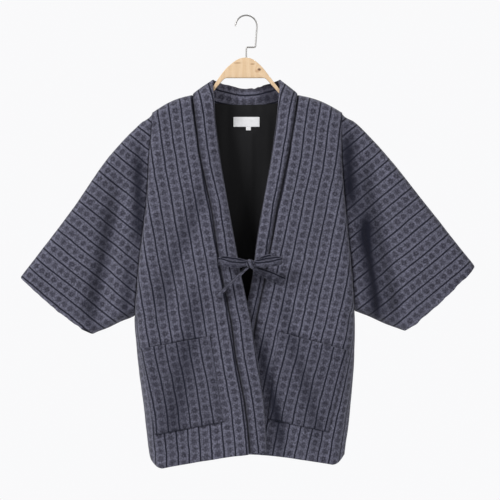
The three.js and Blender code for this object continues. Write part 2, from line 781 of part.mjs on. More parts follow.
// The label and its size tab on the back's lining, under the collar.
function labels(lining) {
  const { width, height, thick, down, tabWidth, tabHeight, tabOut } = label;
  const low = down + height / 2;
  const tab = rectangle(tabOut - tabWidth / 2, tabOut + tabWidth / 2, low + cloth.gap, low + tabHeight);
  const normals = normalsOf(lining.inner, false, 1);
  const plates = [
    { name: "label", corners: rectangle(-width / 2, width / 2, down - height / 2, low) },
    { name: "size_tab", corners: tab },
  ];
  return plates.map((plate) => patch(plate.name, labelCloth, lining.inner, normals, thick, plate.corners));
}

// Ties: a flat strap from each collar seam, knotted in a bow.

// Rings along a route, across its own width. wide is how far the strap's width leans from upright.
function sweep(name, material, places, section) {
  const rings = places.map((place, i) => {
    const before = places[Math.max(i - 1, 0)];
    const after = places[Math.min(i + 1, places.length - 1)];
    const along = vec(after.out - before.out, after.y - before.y, before.down - after.down).normalize();
    const lean = THREE.MathUtils.degToRad(place.lean);
    const wide = vec(Math.sin(lean), 0, Math.cos(lean));
    wide.addScaledVector(along, -wide.dot(along)).normalize();
    const thin = along.clone().cross(wide);
    return section.map(([w, t]) =>
      vec(place.out, place.y, -place.down).addScaledVector(wide, w * place.width).addScaledVector(thin, t),
    );
  });
  return loft(name, material, rings);
}

const strapSection = [
  [-0.5, -0.4],
  [-0.44, -1],
  [0.44, -1],
  [0.5, -0.4],
  [0.5, 0.4],
  [0.44, 1],
  [-0.44, 1],
  [-0.5, 0.4],
].map(([w, t]) => [w, (t * cloth.tie) / 2]);

function knotShape(grow) {
  const shape = new THREE.SphereGeometry(1, 16, 12);
  shape.scale(knot.width / 2 + grow, knot.depth / 2 + grow, knot.height / 2 + grow);
  return shape.rotateY(-0.25).translate(knot.out, knot.y, -knot.down).toNonIndexed();
}

// Each strap stops just short of the knot that it runs into.
function bow() {
  const cutter = manifoldOf({ geometry: knotShape(cloth.gap) });
  const straps = Object.entries(ties).map(([name, places]) => {
    const whole = manifoldOf(sweep(name, stripedCotton, places, strapSection));
    return meshOf(name, stripedCotton, whole.subtract(cutter));
  });
  const mesh = new THREE.Mesh(knotShape(0), stripedCotton);
  mesh.geometry.computeVertexNormals();
  mesh.name = "tie_knot";
  return [...straps, mesh];
}

// Hanger.

function hangerBody() {
  const corners = hanger.outline.map((row) => new THREE.Vector2(row.out, -row.down));
  const depth = hanger.thick - 2 * hanger.edge;
  const options = { depth, bevelEnabled: true, bevelThickness: hanger.edge, bevelSize: hanger.edge };
  const geometry = new THREE.ExtrudeGeometry(new THREE.Shape(corners), {
    ...options,
    bevelOffset: -hanger.edge,
    bevelSegments: 2,
  });
  geometry.translate(0, 0, -depth / 2).rotateX(Math.PI / 2);
  const mesh = new THREE.Mesh(geometry, wood);
  mesh.name = "hanger_body";
  return mesh;
}

// The wire: up from the wood, out to the side, up again and over in an arc that ends in the air.
function hangerHook() {
  const { radius, wire, stemOut, footDown, bendDown, bend, sideOut } = hook;
  const middleDown = radius - wire / 2;
  const centre = [{ out: stemOut, down: footDown }];
  const corner = (fromAngle, out, down, turn) => {
    for (let k = 0; k <= 4; k++) {
      const angle = fromAngle + (turn * k * Math.PI) / 8;
      centre.push({ out: out + bend * Math.cos(angle), down: down - bend * Math.sin(angle) });
    }
  };
  corner(Math.PI, stemOut + bend, bendDown + bend, -1);
  corner(-Math.PI / 2, sideOut - bend, bendDown - bend, 1);
  for (let k = 0; k <= 20; k++) {
    const angle = THREE.MathUtils.degToRad(lerp(0, hook.sweep, k / 20));
    const out = sideOut - radius + radius * Math.cos(angle);
    centre.push({ out, down: middleDown - radius * Math.sin(angle) });
  }
  const rings = centre.map((place, i) => {
    const before = centre[Math.max(i - 1, 0)];
    const after = centre[Math.min(i + 1, centre.length - 1)];
    const across = vec(after.down - before.down, 0, after.out - before.out).normalize();
    return Array.from({ length: 10 }, (_, k) => {
      const angle = (k / 10) * 2 * Math.PI;
      const spoke = across.clone().multiplyScalar(Math.cos(angle)).add(vec(0, Math.sin(angle), 0));
      return vec(place.out, 0, -place.down).addScaledVector(spoke, wire / 2);
    });
  });
  return loft("hanger_hook", steel, rings);
}

const group = new THREE.Group();
const lining = backLining();
group.add(backPanel(), frontPanel(right), frontPanel(left), sleeve(right), sleeve(left), collarBand());
group.add(pocket(right), pocket(left), lining.mesh, ...labels(lining), ...bow(), hangerBody(), hangerHook());
export default group;
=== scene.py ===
import math

import bmesh
import bpy
import numpy as np
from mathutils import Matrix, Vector


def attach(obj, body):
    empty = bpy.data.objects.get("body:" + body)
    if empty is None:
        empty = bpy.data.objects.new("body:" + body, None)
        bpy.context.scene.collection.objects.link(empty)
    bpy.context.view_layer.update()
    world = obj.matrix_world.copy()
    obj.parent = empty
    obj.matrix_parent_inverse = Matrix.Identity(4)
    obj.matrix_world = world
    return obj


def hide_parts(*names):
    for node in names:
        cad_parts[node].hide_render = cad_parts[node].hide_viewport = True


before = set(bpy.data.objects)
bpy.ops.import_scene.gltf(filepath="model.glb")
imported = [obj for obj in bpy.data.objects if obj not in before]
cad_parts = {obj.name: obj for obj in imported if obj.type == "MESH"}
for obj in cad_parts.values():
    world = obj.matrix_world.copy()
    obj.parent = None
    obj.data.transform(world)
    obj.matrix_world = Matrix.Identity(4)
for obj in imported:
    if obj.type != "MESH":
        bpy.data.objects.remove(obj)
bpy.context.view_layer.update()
metre = 1000  # the tables below are in millimetres, as in the part's source
scene = bpy.context.scene


def deselectAll():
    bpy.ops.object.select_all(action="DESELECT")


# Camera and lights

stageSettings = {
    "centre": (0.0072, -0.4800),  # where the middle of the picture looks, across and up
    "distance": 5.0,
    "lens": 175.4,
    "aim": (0, 0, -0.5),  # what every light points at
    # name, place, size in metres and power in watts
    "lights": [
        ("softbox left", (-2.4, -1.75, 1.2), 1.2, 116),
        ("softbox right", (1.8, -1.6, 0.4), 1.2, 24),
        ("back light", (0.6, 2.4, 0.9), 1.6, 55),
    ],
    "floorUp": -1.32,
    "floorRadius": 1.5,
    "floorColour": (0.86, 0.86, 0.87, 1),
    "backdrop": (0.95, 0.95, 0.96, 1),
    "fill": 0.33,  # strength of the light from all round
}


def addCamera():
    across, up = stageSettings["centre"]
    camera = bpy.data.objects.new("camera", bpy.data.cameras.new("camera"))
    scene.collection.objects.link(camera)
    camera.location = (across, -stageSettings["distance"], up)
    camera.rotation_euler = (math.pi / 2, 0, 0)
    camera.data.lens = stageSettings["lens"]
    camera.data.clip_start = 0.05
    scene.camera = camera


def addLight(name, place, size, power):
    data = bpy.data.lights.new(name, "AREA")
    data.shape = "DISK"
    data.size = size
    data.energy = power
    light = bpy.data.objects.new(name, data)
    scene.collection.objects.link(light)
    light.location = place
    toAim = Vector(stageSettings["aim"]) - Vector(place)
    light.rotation_euler = toAim.to_track_quat("-Z", "Y").to_euler()


addCamera()
scene.view_settings.view_transform = "Standard"
for row in stageSettings["lights"]:
    addLight(*row)
print("camera and lights placed")


# Materials

# A number, colour or vector in a shader. Sums of numbers add their Math nodes.
class Value:
    def __init__(self, paint, socket):
        self.paint = paint
        self.socket = socket

    def math(self, operation, *others):
        return self.paint.node("ShaderNodeMath", {"operation": operation}, [self, *others])

    def out(self, name):
        return Value(self.paint, self.socket.node.outputs[name])

    # from 0 at the first value to 1 at the second, eased at both
    def smooth(self, low, high):
        ends = {"Value": self, "From Min": low, "From Max": high}
        return self.paint.node("ShaderNodeMapRange", {"interpolation_type": "SMOOTHSTEP"}, ends)

    def __add__(self, other):
        return self.math("ADD", other)

    def __sub__(self, other):
        return self.math("SUBTRACT", other)

    def __mul__(self, other):
        return self.math("MULTIPLY", other)

    def __truediv__(self, other):
        return self.math("DIVIDE", other)

    def __rsub__(self, other):
        return self.paint.node("ShaderNodeMath", {"operation": "SUBTRACT"}, [other, self])

    __radd__ = __add__
    __rmul__ = __mul__


# The nodes of a material, or of the world.
class Paint:
    def __init__(self, owner):
        owner.use_nodes = True
        self.owner = owner
        self.tree = owner.node_tree
        self.tree.nodes.clear()

    # Adds a node: its settings first, then the values or links of its sockets.
    def node(self, kind, settings=None, inputs=None, output=0):
        node = self.tree.nodes.new(kind)
        for name, value in (settings or {}).items():
            setattr(node, name, value)
        named = inputs.items() if isinstance(inputs, dict) else enumerate(inputs or [])
        for name, value in named:
            if isinstance(value, Value):
                self.tree.links.new(value.socket, node.inputs[name])
            else:
                node.inputs[name].default_value = value
        return Value(self, node.outputs[output]) if node.outputs else node

    def objectPlace(self):
        return self.node("ShaderNodeTexCoord").out("Object")

    def clothPlace(self):
        return self.node("ShaderNodeUVMap", {"uv_map": "cloth"})

    def axes(self, vector):
        parts = self.node("ShaderNodeSeparateXYZ", None, [vector])
        return [parts.out(name) for name in "XYZ"]

    # a Mix node's colours are its sockets 6 and 7, and its output 2
    def mix(self, factor, first, second, blend="MIX"):
        settings = {"data_type": "RGBA", "blend_type": blend}
        return self.node("ShaderNodeMix", settings, {0: factor, 6: first, 7: second}, 2)

    def tint(self, colour, amount):
        grey = self.node("ShaderNodeCombineColor", None, [amount, amount, amount])
        return self.mix(1.0, colour, grey, "MULTIPLY")

    # a scale of three numbers stretches the noise along the axes
    def noise(self, where, scale, detail=2, rough=0.5):
        if isinstance(scale, tuple):
            where = self.node("ShaderNodeVectorMath", {"operation": "MULTIPLY"}, [where, scale])
            scale = 1
        sizes = {"Vector": where, "Scale": scale, "Detail": detail, "Roughness": rough}
        return self.node("ShaderNodeTexNoise", None, sizes)

    # threads crossing at a pitch, as waves from -1 to 1
    def weave(self, across, along, pitch):
        turn = 2 * math.pi / pitch
        return (across * turn).math("SINE") * (along * turn).math("SINE")

    def finish(self, height, depth, **surface):
        bump = {"Strength": 1.0, "Distance": depth, "Height": height}
        sockets = {name.replace("_", " "): value for name, value in surface.items()}
        sockets["Normal"] = self.node("ShaderNodeBump", None, bump)
        shader = self.node("ShaderNodeBsdfPrincipled", None, sockets)
        self.node("ShaderNodeOutputMaterial", None, {"Surface": shader})
        return self.owner


def newPaint(name):
    return Paint(bpy.data.materials.new(name))


cottonSettings = {
    "stripe": 24.3,  # from one dark line to the next, in millimetres
    "line": 1.6,  # half of a line's width
    "lineWander": 1.1,
    "flower": 15.6,  # from one flower to the next down a column
    "petals": 6.5,  # from a flower's middle to its petals' ends
    "petalWander": 9,
    "rowWander": 0.35,  # in flowers
    "drift": 5,  # how far the whole print wanders across
    "thread": 0.9,
    "relief": 0.0004,
    "ground": (0.112, 0.112, 0.154, 1),
    "flowerColour": (0.030, 0.029, 0.045, 1),
    # the dark lines' colour, which the painted shade also darkens towards
    "lineAndShadeColour": (0.004, 0.0045, 0.013, 1),
}


# Striped cotton. The piece's UV map holds metres across the stripes and along them.
def makeCotton():
    s = cottonSettings
    paint = newPaint("striped cotton")
    uv = paint.clothPlace()
    across, along, _ = paint.axes(uv)
    across = across * metre + (paint.noise(uv, 16) - 0.5) * s["drift"]
    along = along * metre
    column = across / s["stripe"]
    number = column.math("FLOOR")
    offLine = (column - number - 0.5) * s["stripe"]
    toLine = s["stripe"] / 2 - offLine.math("ABSOLUTE")
    shift = paint.node("ShaderNodeTexWhiteNoise", {"noise_dimensions": "1D"}, {"W": number})
    row = along / s["flower"] + shift + (paint.noise(uv, 35, 1) - 0.5) * s["rowWander"]
    flower = row.math("FLOOR")
    offRow = (row - flower - 0.5) * s["flower"]
    cell = paint.node("ShaderNodeCombineXYZ", None, [number, flower, 0.0])
    own = paint.node("ShaderNodeTexWhiteNoise", {"noise_dimensions": "2D"}, {"Vector": cell})
    # six blotted petals round a paler heart, each flower a little unlike the next
    distance = (offLine * offLine + offRow * offRow).math("SQRT")
    angle = offRow.math("ARCTAN2", offLine)
    ragged = distance + (paint.noise(uv, 230, 2, 0.6) - 0.5) * s["petalWander"]
    petals = s["petals"] + (angle * 6 + own * 6.0).math("COSINE") * 0.35
    blossom = 1 - (ragged - petals).smooth(-3.0, 1.8)
    heart = (1 - ragged.smooth(0.6, 2.4)) * own.smooth(0.45, 0.8)
    flowerMask = blossom * (1 - heart * 0.5) * (0.72 + own * 0.28)
    broken = (paint.noise(uv, (900, 60, 1), 1) - 0.5) * s["lineWander"]
    lineMask = 1 - (toLine + broken).smooth(s["line"] - 0.4, s["line"] + 0.5)
    fleck = paint.noise(uv, 270, 2, 0.75).smooth(0.3, 0.7)
    slub = paint.noise(uv, (420, 110, 1), 2, 0.6).smooth(0.3, 0.7)
    cloud = paint.noise(uv, 9, 3)
    colour = paint.mix(flowerMask * 0.9, s["ground"], s["flowerColour"])
    colour = paint.tint(colour, 0.16 + fleck * 0.82 + slub * 0.4 + cloud * 0.34)
    colour = paint.mix(lineMask * 0.95, colour, s["lineAndShadeColour"])
    # this attribute holds painted shade: how far a place in a seam, a crease or the lee of a fold
    # is darkened towards the lines' colour
    paintedShade = paint.node("ShaderNodeAttribute", {"attribute_name": "paintedShade"}, None, "Fac")
    colour = paint.mix(paintedShade, colour, s["lineAndShadeColour"])
    height = fleck * 0.9 + slub * 0.6 - lineMask * 0.5
    height = height + paint.weave(across, along, s["thread"]) * 0.3
    return paint.finish(
        height, s["relief"], Base_Color=colour, Roughness=0.8 + fleck * 0.15,
        Sheen_Weight=0.12, Sheen_Roughness=0.5, Specular_IOR_Level=0.15,
    )


plainSettings = {
    "lining": (0.0062, 0.0062, 0.0072, 1),
    "label": (0.78, 0.78, 0.80, 1),
    "labelThread": 0.0007,
    "steel": (0.40, 0.39, 0.38, 1),
}


def makeLiningCloth():
    paint = newPaint("black lining")
    uv = paint.clothPlace()
    thread = paint.noise(uv, (1500, 400, 1), 2, 0.6)
    colour = paint.tint(plainSettings["lining"], 0.6 + paint.noise(uv, 7) * 0.5 + thread * 0.4)
    rough = 0.66 + thread * 0.2
    return paint.finish(thread, 0.0001, Base_Color=colour, Roughness=rough, Specular_IOR_Level=0.2)


def makeLabelCloth():
    paint = newPaint("white woven label")
    uv = paint.clothPlace()
    across, along, _ = paint.axes(uv)
    weave = paint.weave(across, along, plainSettings["labelThread"])
    soft = paint.noise(uv, 160)
    colour = paint.tint(plainSettings["label"], 0.85 + soft * 0.2 + weave * 0.04)
    return paint.finish(weave * 0.5 + soft, 0.00012, Base_Color=colour, Roughness=0.6 + soft * 0.2)


def makeSteel():
    paint = newPaint("bright wire")
    where = paint.objectPlace()
    drawn, dull = paint.noise(where, (900, 900, 900)), paint.noise(where, (60, 60, 60), 3)
    colour = paint.tint(plainSettings["steel"], 0.8 + dull * 0.3)
    rough = 0.3 + dull * 0.25
    return paint.finish(drawn, 0.00004, Base_Color=colour, Metallic=1.0, Roughness=rough)


woodSettings = {
    "early": (0.71, 0.532, 0.35, 1),
    "late": (0.60, 0.41, 0.237, 1),
    "streak": (0.60, 0.39, 0.205, 1),
    "pore": (0.50, 0.32, 0.16, 1),
    "sawn": (0.36, 0.22, 0.11, 1),
    "sawnPlace": (-0.003, -0.1262),  # out and up of the middle of the board's lower edge, where shade is painted
    "swirl": (0.0258, -0.1103, 0.006, 0.006, 2.4),  # where the rings bend round the knot
    # out, up, half wide, half high and reach of a mark on the face, its strength and its colour
    "marks": [
        ((0.0262, -0.1100, 0.0033, 0.0026, 1.5), 0.95, (0.10, 0.04, 0.018, 1)),
        ((0.0225, -0.1132, 0.0046, 0.0026, 1.6), 0.5, (0.38, 0.19, 0.08, 1)),
        ((-0.0187, -0.0966, 0.0060, 0.0009, 2.0), 0.75, (0.30, 0.16, 0.07, 1)),
        ((0.0121, -0.0988, 0.0034, 0.0011, 2.0), 0.75, (0.30, 0.16, 0.07, 1)),
    ],
}


def makeWood():
    s = woodSettings
    paint = newPaint("pale sanded wood")
    where = paint.objectPlace()
    out, deep, up = paint.axes(where)

    # from 1 at the middle of an oval mark on the face of the board to 0 outside it
    def mark(markOut, markUp, halfWide, halfHigh, reach):
        wide, high = (out - markOut) / halfWide, (up - markUp) / halfHigh
        return 1 - (wide * wide + high * high).math("SQRT").smooth(0.5, reach)

    warp = paint.noise(where, (30, 30, 5), 3) * 8 + mark(*s["swirl"]) * 4
    rings = (out * 420 + deep * 160 + warp).math("SINE").smooth(-1, 1)
    streak = paint.noise(where, (520, 520, 26), 3, 0.6).smooth(0.3, 0.75)
    pores = paint.noise(where, (1900, 1900, 130), 2, 0.7).smooth(0.55, 0.75)
    colour = paint.mix(rings * 0.5, s["early"], s["late"])
    colour = paint.mix(streak * 0.45, colour, s["streak"])
    colour = paint.mix(pores * 0.2, colour, s["pore"])
    for oval, strength, stain in s["marks"]:
        colour = paint.mix(mark(*oval) * strength, colour, stain)
    # painted shade: a thin dark line along the flat middle of the board's lower edge
    sawnOut, sawnUp = s["sawnPlace"]
    lowEdge = 1 - (up - sawnUp).math("ABSOLUTE").smooth(0.0003, 0.0011)
    lowEdge = lowEdge * (1 - (out - sawnOut).math("ABSOLUTE").smooth(0.034, 0.04))
    colour = paint.mix(lowEdge * 0.4, colour, s["sawn"])
    rough = 0.46 + rings * 0.1 + pores * 0.15
    return paint.finish(
        streak * 0.3 - pores, 0.00012, Base_Color=colour, Roughness=rough, Coat_Weight=0.1
    )


def makeStageMaterial():
    paint = newPaint("stage")
    soft = paint.noise(paint.objectPlace(), 1.5, 1)
    colour = paint.tint(stageSettings["floorColour"], 0.95 + soft * 0.05)
    return paint.finish(soft, 0.0001, Base_Color=colour, Roughness=0.9)


cotton = makeCotton()
liningBlack = makeLiningCloth()
labelCloth = makeLabelCloth()
wood = makeWood()
steel = makeSteel()
print("materials made")


# The floor and the pale surroundings

def addStage():
    deselectAll()
    bpy.ops.mesh.primitive_circle_add(
        vertices=96, radius=stageSettings["floorRadius"], fill_type="NGON",
        location=(0, 0, stageSettings["floorUp"]),
    )
    floor = bpy.context.object
    floor.name = "floor"
    floor.data.materials.append(makeStageMaterial())
    world = Paint(bpy.data.worlds.new("studio"))
    scene.world = world.owner
    toCamera = world.node("ShaderNodeLightPath").out("Is Camera Ray")
    fill = {"Color": (1, 1, 1, 1), "Strength": stageSettings["fill"]}
    light = world.node("ShaderNodeBackground", None, fill)
    seen = world.node("ShaderNodeBackground", None, {"Color": stageSettings["backdrop"]})
    both = world.node("ShaderNodeMixShader", None, [toCamera, light, seen])
    world.node("ShaderNodeOutputWorld", None, {"Surface": both})


addStage()
print("stage set")


# Reading the tables

def mix(first, second, share):
    return first + (second - first) * share


def smooth(value, low, high):
    t = np.clip((value - low) / (high - low), 0, 1)
    return t * t * (3 - 2 * t)


# A smooth curve through one column of a table whose first column is the place.
def curve(rows, column):
    table = np.array(rows, float)
    keys, values = table[:, 0], table[:, column]
    index = np.arange(len(keys))
    before, after = np.maximum(index - 1, 0), np.minimum(index + 1, len(keys) - 1)
    slopes = (values[after] - values[before]) / (keys[after] - keys[before])

    def at(value):
        place = np.clip(value, keys[0], keys[-1])
        i = np.clip(np.searchsorted(keys, place, side="right") - 1, 0, len(keys) - 2)
        span = keys[i + 1] - keys[i]
        t = (place - keys[i]) / span
        rise = values[i + 1] - values[i]
        bend = (slopes[i] * span - rise) * (1 - t) + (rise - slopes[i + 1] * span) * t
        return values[i] + rise * t + t * (1 - t) * bend

    return at


def rounded(distance, roll):
    return np.sqrt(1 - (1 - np.clip(distance / roll, 0, 1)) ** 2)


# 1 on a line and less away from it.
def bell(distance, reach):
    return np.exp(-((distance / reach) ** 2))


# Soft unevenness from -1 to 1, from a lattice of random heights.
def ripple(seed, across, along, sizeAcross, sizeAlong):
    cells = 64
    heights = np.random.default_rng(seed).uniform(-1, 1, (cells, cells))
    a, b = across / sizeAcross + 17.3, along / sizeAlong + 9.1  # starts off the lattice's own lines
    i, j = np.floor(a).astype(int), np.floor(b).astype(int)
    s, t = smooth(a - i, 0, 1), smooth(b - j, 0, 1)

    def height(right, up):
        return heights[(i + right) % cells, (j + up) % cells]

    return mix(mix(height(0, 0), height(1, 0), s), mix(height(0, 1), height(1, 1), s), t)


# Ripples of several sizes together: height, size across and size along of each.
def ripples(seed, across, along, sizes):
    total = 0
    for k, (high, sizeAcross, sizeAlong) in enumerate(sizes):
        total = total + high * ripple(seed + k, across, along, sizeAcross, sizeAlong)
    return total


# Gathers along a seam, which die out away from it: height, size along it, size away from it, reach.
def gathers(seed, along, away, high, size, sizeAway, reach):
    return high * ripple(seed, along, away, size, sizeAway) * np.exp(-away / reach)


# A seam draws the cloth in and it puffs up beside it: depth of the dip, height of the puff, reach.
def seamRelief(distance, dip, puff, reach):
    near = np.maximum(distance, 0)
    return puff * (near / reach) * np.exp(1 - near / reach) - dip * np.exp(-((near / 3.2) ** 1.2))


foldFade = 45  # how far a crease runs on past its ends


# What the creases of a table add up to at a place: out, down, out, down, width, depth or shade.
def foldAt(folds, out, down):
    total = np.zeros(np.broadcast(out, down).shape)
    for outFrom, downFrom, outTo, downTo, width, depth in folds:
        away = out - mix(outFrom, outTo, np.clip((down - downFrom) / (downTo - downFrom), 0, 1))
        past = np.maximum(np.maximum(downFrom - down, down - downTo), 0)
        total = total + depth * np.exp(-((away / width) ** 2) - (past / foldFade) ** 2)
    return total


# The jacket's form

cloth = {"wall": 8, "liningWall": 1.5, "pocket": 3.4, "gap": 0.3}  # thicknesses, and between pieces
shoulder = {"neckDown": 162, "tipDown": 198, "crown": 6, "roll": 20, "depth": 20}
body = {
    "roll": 30, "hemDown": 893, "hemCorner": 20, "cornerShare": 0.12,
    "lapStart": 420, "lapEnd": 560,
}
neckline = {"drop": 20, "rise": 12, "bulge": 10, "fade": 140}

# down, front, back: how far the cloth stands out from the hanger's plane
depths = [(198, 20, 20), (300, 30, 28), (450, 36, 32), (620, 38, 34), (760, 42, 38), (920, 42, 38)]

rightSide = {
    "name": "right",
    "sign": -1,
    "seed": 10,  # of its unevenness
    "lap": 9,
    "hemDrop": 34,
    "hemBend": 1.2,
    "underarmDown": 614,
    # down, out of the fabric's grain: a dark line of the front
    "grain": [(162, 114), (296, 94.5), (418, 73), (541, 51), (685, 28), (808, 7.5), (893, -1)],
    "pocketStart": 15.6,  # from that line to a dark line of the pocket
    "lean": 10,  # degrees by which the stripes lean towards the opening
    "sleeveLean": 51,
    "outline": [
        (198, 193), (237, 195), (288, 200), (380, 205), (442, 213), (522, 222),
        (614, 229), (685, 225), (728, 220), (797, 211), (879, 201), (907, 196),
    ],
    # down, seam, free edge
    "opening": [
        (162, 112, 68), (206, 105, 64), (284, 95, 54), (347, 82, 44), (402, 70, 34), (457, 62, 24),
        (540, 48, 8), (626, 31, -10), (694, 22, -21), (745, 12, -29), (800, 2, -37), (893, -8, -41),
    ],
    # along, top out, top down, low out, low down, depth
    "sleeve": [
        (0, 193, 198, 229, 614, 20), (0.1, 226, 228, 238, 619, 23), (0.3, 286, 293, 255, 626, 27),
        (0.6, 358, 397, 281, 638, 27), (1, 462, 534, 316, 652, 24),
    ],
    "sleeveFolds": [(259, 370, 306, 600, 20, 14), (210, 300, 216, 480, 12, 10)],
    "sleeveShades": [
        (221, 320, 220, 430, 15, 0.85), (241, 545, 247, 590, 11, 0.55),
        (283, 430, 317, 590, 17, 0.55),
    ],
    # out and down of the corners: outer top, inner top, inner low, outer low
    "pocket": [(217, 683), (74, 656), (48, 829), (185, 856)],
    "collarLine": [(150, 17), (500, 17.5), (900, 16)],
}
leftSide = {
    "name": "left",
    "sign": 1,
    "seed": 20,
    "lap": -9,
    "hemDrop": 26,
    "hemBend": 1.5,
    "underarmDown": 604,
    "grain": [
        (162, 106), (234, 94), (296, 86), (357, 73.5), (480, 48), (603, 22),
        (644, 12.5), (869, -35.5), (930, -48),
    ],
    "pocketStart": 4.5,
    "lean": 11,
    "sleeveLean": 50,
    "outline": [
        (198, 196), (241, 195), (314, 197), (401, 204), (497, 214), (604, 222),
        (711, 221), (758, 217), (837, 209), (903, 200),
    ],
    "opening": [
        (162, 106, 65), (206, 99, 62), (284, 86, 51), (347, 73, 40), (402, 61, 30), (457, 52, 21),
        (540, 37, 10), (616, 21, -6), (655, 14, -14), (745, 5, -26), (893, -8, -38),
    ],
    "sleeve": [
        (0, 196, 198, 222, 604, 20), (0.1, 231, 225, 231, 608, 23), (0.3, 290, 289, 252, 617, 27),
        (0.6, 363, 380, 281, 630, 27), (1, 467, 512, 324, 645, 24),
    ],
    "sleeveFolds": [
        (257, 335, 314, 580, 20, 14), (214, 290, 222, 400, 12, 10), (247, 440, 270, 590, 8, 6),
    ],
    "sleeveShades": [
        (208, 280, 210, 345, 18, 0.95), (222, 395, 236, 425, 20, 0.36),
        (246, 450, 268, 592, 13, 0.75),
        (234, 475, 252, 590, 16, 0.45), (249, 350, 298, 585, 18, 0.4),
    ],
    "pocket": [(208, 687), (65, 647), (43, 824), (166, 850)],
    "collarLine": [(150, 12), (300, 11.5), (420, 8), (900, 8)],
}

# out is from the middle, towards the wearer's left: out, down, out, down, width, depth
frontFolds = [
    (-172, 330, -158, 640, 20, 3), (168, 360, 150, 640, 20, 3), (-88, 380, -160, 560, 22, 3),
    (-95, 600, -138, 820, 24, 3), (44, 700, 78, 850, 14, 3), (90, 620, 152, 830, 14, 2.5),
]
# the same way, but how much shade is painted on the cloth in the lee of a fold
frontShades = [
    (-98, 380, -170, 560, 22, 0.34), (-105, 600, -148, 820, 24, 0.38), (34, 700, 68, 850, 14, 0.75),
    (80, 620, 142, 830, 14, 0.32),
]
backFolds = [
    (-128, 300, -150, 860, 26, 5),
    (-40, 420, -46, 900, 24, 4),
    (62, 360, 70, 900, 26, 5),
    (150, 320, 160, 820, 24, 4),
]
# turn, out, y, down of the collar's free edge round the neck
neckEdge = [
    (0.55, 66, -24, 170), (1, 69, -2, 132), (1.25, 64, 18, 131),
    (1.5, 45, 25, 138), (2, 0, 28, 147), (2.5, -45, 25, 138),
]
collarTurnDrop = 44
collarTuck = 5

frontDepth, backDepth = curve(depths, 1), curve(depths, 2)


def hemAt(side, inward):
    corner = body["hemCorner"] * np.clip(1 - inward / body["cornerShare"], 0, 1) ** 2
    return body["hemDown"] + side["hemDrop"] * (1 - inward) ** side["hemBend"] - corner


def shoulderDown(inward):
    straight = mix(shoulder["tipDown"], shoulder["neckDown"], inward)
    return straight - shoulder["crown"] * np.sin(np.pi * inward)


for side in (rightSide, leftSide):
    side["outlineAt"] = curve(side["outline"], 1)
    side["seamAt"] = curve(side["opening"], 1)
    side["edgeAt"] = curve(side["opening"], 2)
    side["collarLineAt"] = curve(side["collarLine"], 1)
    side["grainAt"] = curve(side["grain"], 1)
    side["sleeveAt"] = [curve(side["sleeve"], column) for column in range(1, 6)]
    neckOut, tipOut = side["seamAt"](shoulder["neckDown"]), side["outlineAt"](shoulder["tipDown"])
    side["neckShare"] = 1 - neckOut / tipOut
    side["armDrop"] = side["underarmDown"] - shoulder["tipDown"]
    side["bodyDrop"] = hemAt(side, 0) - shoulder["tipDown"]


def stack(x, y, z):
    return np.stack(np.broadcast_arrays(x, y, z), axis=-1).astype(float)


# Distances in from a rolled edge, the closer together the nearer to it.
def curlSteps(roll, turns):
    return roll * (1 - np.cos(np.linspace(0, np.pi / 2, turns + 1)))[:-1]


# Distances down a flattened tube: round its top fold, down its flat and round its lower fold.
def tubeSteps(length, roll, turns, flats):
    curl = curlSteps(roll, turns)
    level = np.linspace(roll, length - roll, flats + 1)
    return np.concatenate([curl, level, length - curl[::-1]])


# Distances down a front or the back: round the sleeve's join, then down the side.
def bodyRows(side, counts):
    arm = tubeSteps(side["armDrop"], shoulder["roll"], counts["turns"], counts["arm"])
    skirt = np.linspace(side["armDrop"], side["bodyDrop"], counts["skirt"] + 1)
    return np.concatenate([arm, skirt[1:]])


# How far the cloth stands out at each end of a tube that is folded flat: 1 on its flat.
def tubeLift(fall, length):
    return rounded(fall, shoulder["roll"]) * rounded(length - fall, shoulder["roll"])


def armholeDepth(side, drop):
    lift = tubeLift(drop, side["armDrop"])
    return np.where(drop < side["armDrop"], shoulder["depth"] * lift, 0)


def frontWidth(side, drop):
    seamDown = mix(shoulder["neckDown"], body["hemDown"], drop / side["bodyDrop"])
    return side["outlineAt"](shoulder["tipDown"] + drop) - side["seamAt"](seamDown)


# A point of a front. drop is down the side from the shoulder's tip, dist is in from the side.
def frontPlace(side, drop, dist):
    share = drop / side["bodyDrop"]
    seamDown = mix(shoulder["neckDown"], body["hemDown"], share)
    outer, width = side["outlineAt"](shoulder["tipDown"] + drop), frontWidth(side, drop)
    inward = dist / width
    turn = np.arccos(1 - np.clip(dist / body["roll"], 0, 1))
    flat = np.clip((dist - body["roll"]) / (width - body["roll"]), 0, 1)
    across = (3 * turn / (np.pi / 2) + 8 * flat) / 11  # the side's roll takes 3 parts in 11
    down = mix(shoulderDown(inward), hemAt(side, inward), share)
    out = outer - width * inward
    lap = side["lap"] * smooth(seamDown, body["lapStart"], body["lapEnd"]) * smooth(across, 0.35, 1)
    full = frontDepth(down) * rounded(drop, shoulder["roll"]) + lap
    full = full - foldAt(frontFolds, side["sign"] * out, down)
    depth = mix(armholeDepth(side, drop), full, np.sin(turn))
    return stack(side["sign"] * out, -depth, -down)


# The back's upper edge: how far down it is, and how far the neck has hollowed it, from 0 to 1.
def backRidge(side, inward):
    toNeck = np.clip(inward / side["neckShare"], 0, 1)
    inNeck = np.clip((inward - side["neckShare"]) / (1 - side["neckShare"]), 0, 1)
    hollow = np.sqrt(1 - (1 - inNeck) ** 2)
    return shoulderDown(toNeck) + neckline["drop"] * hollow, hollow


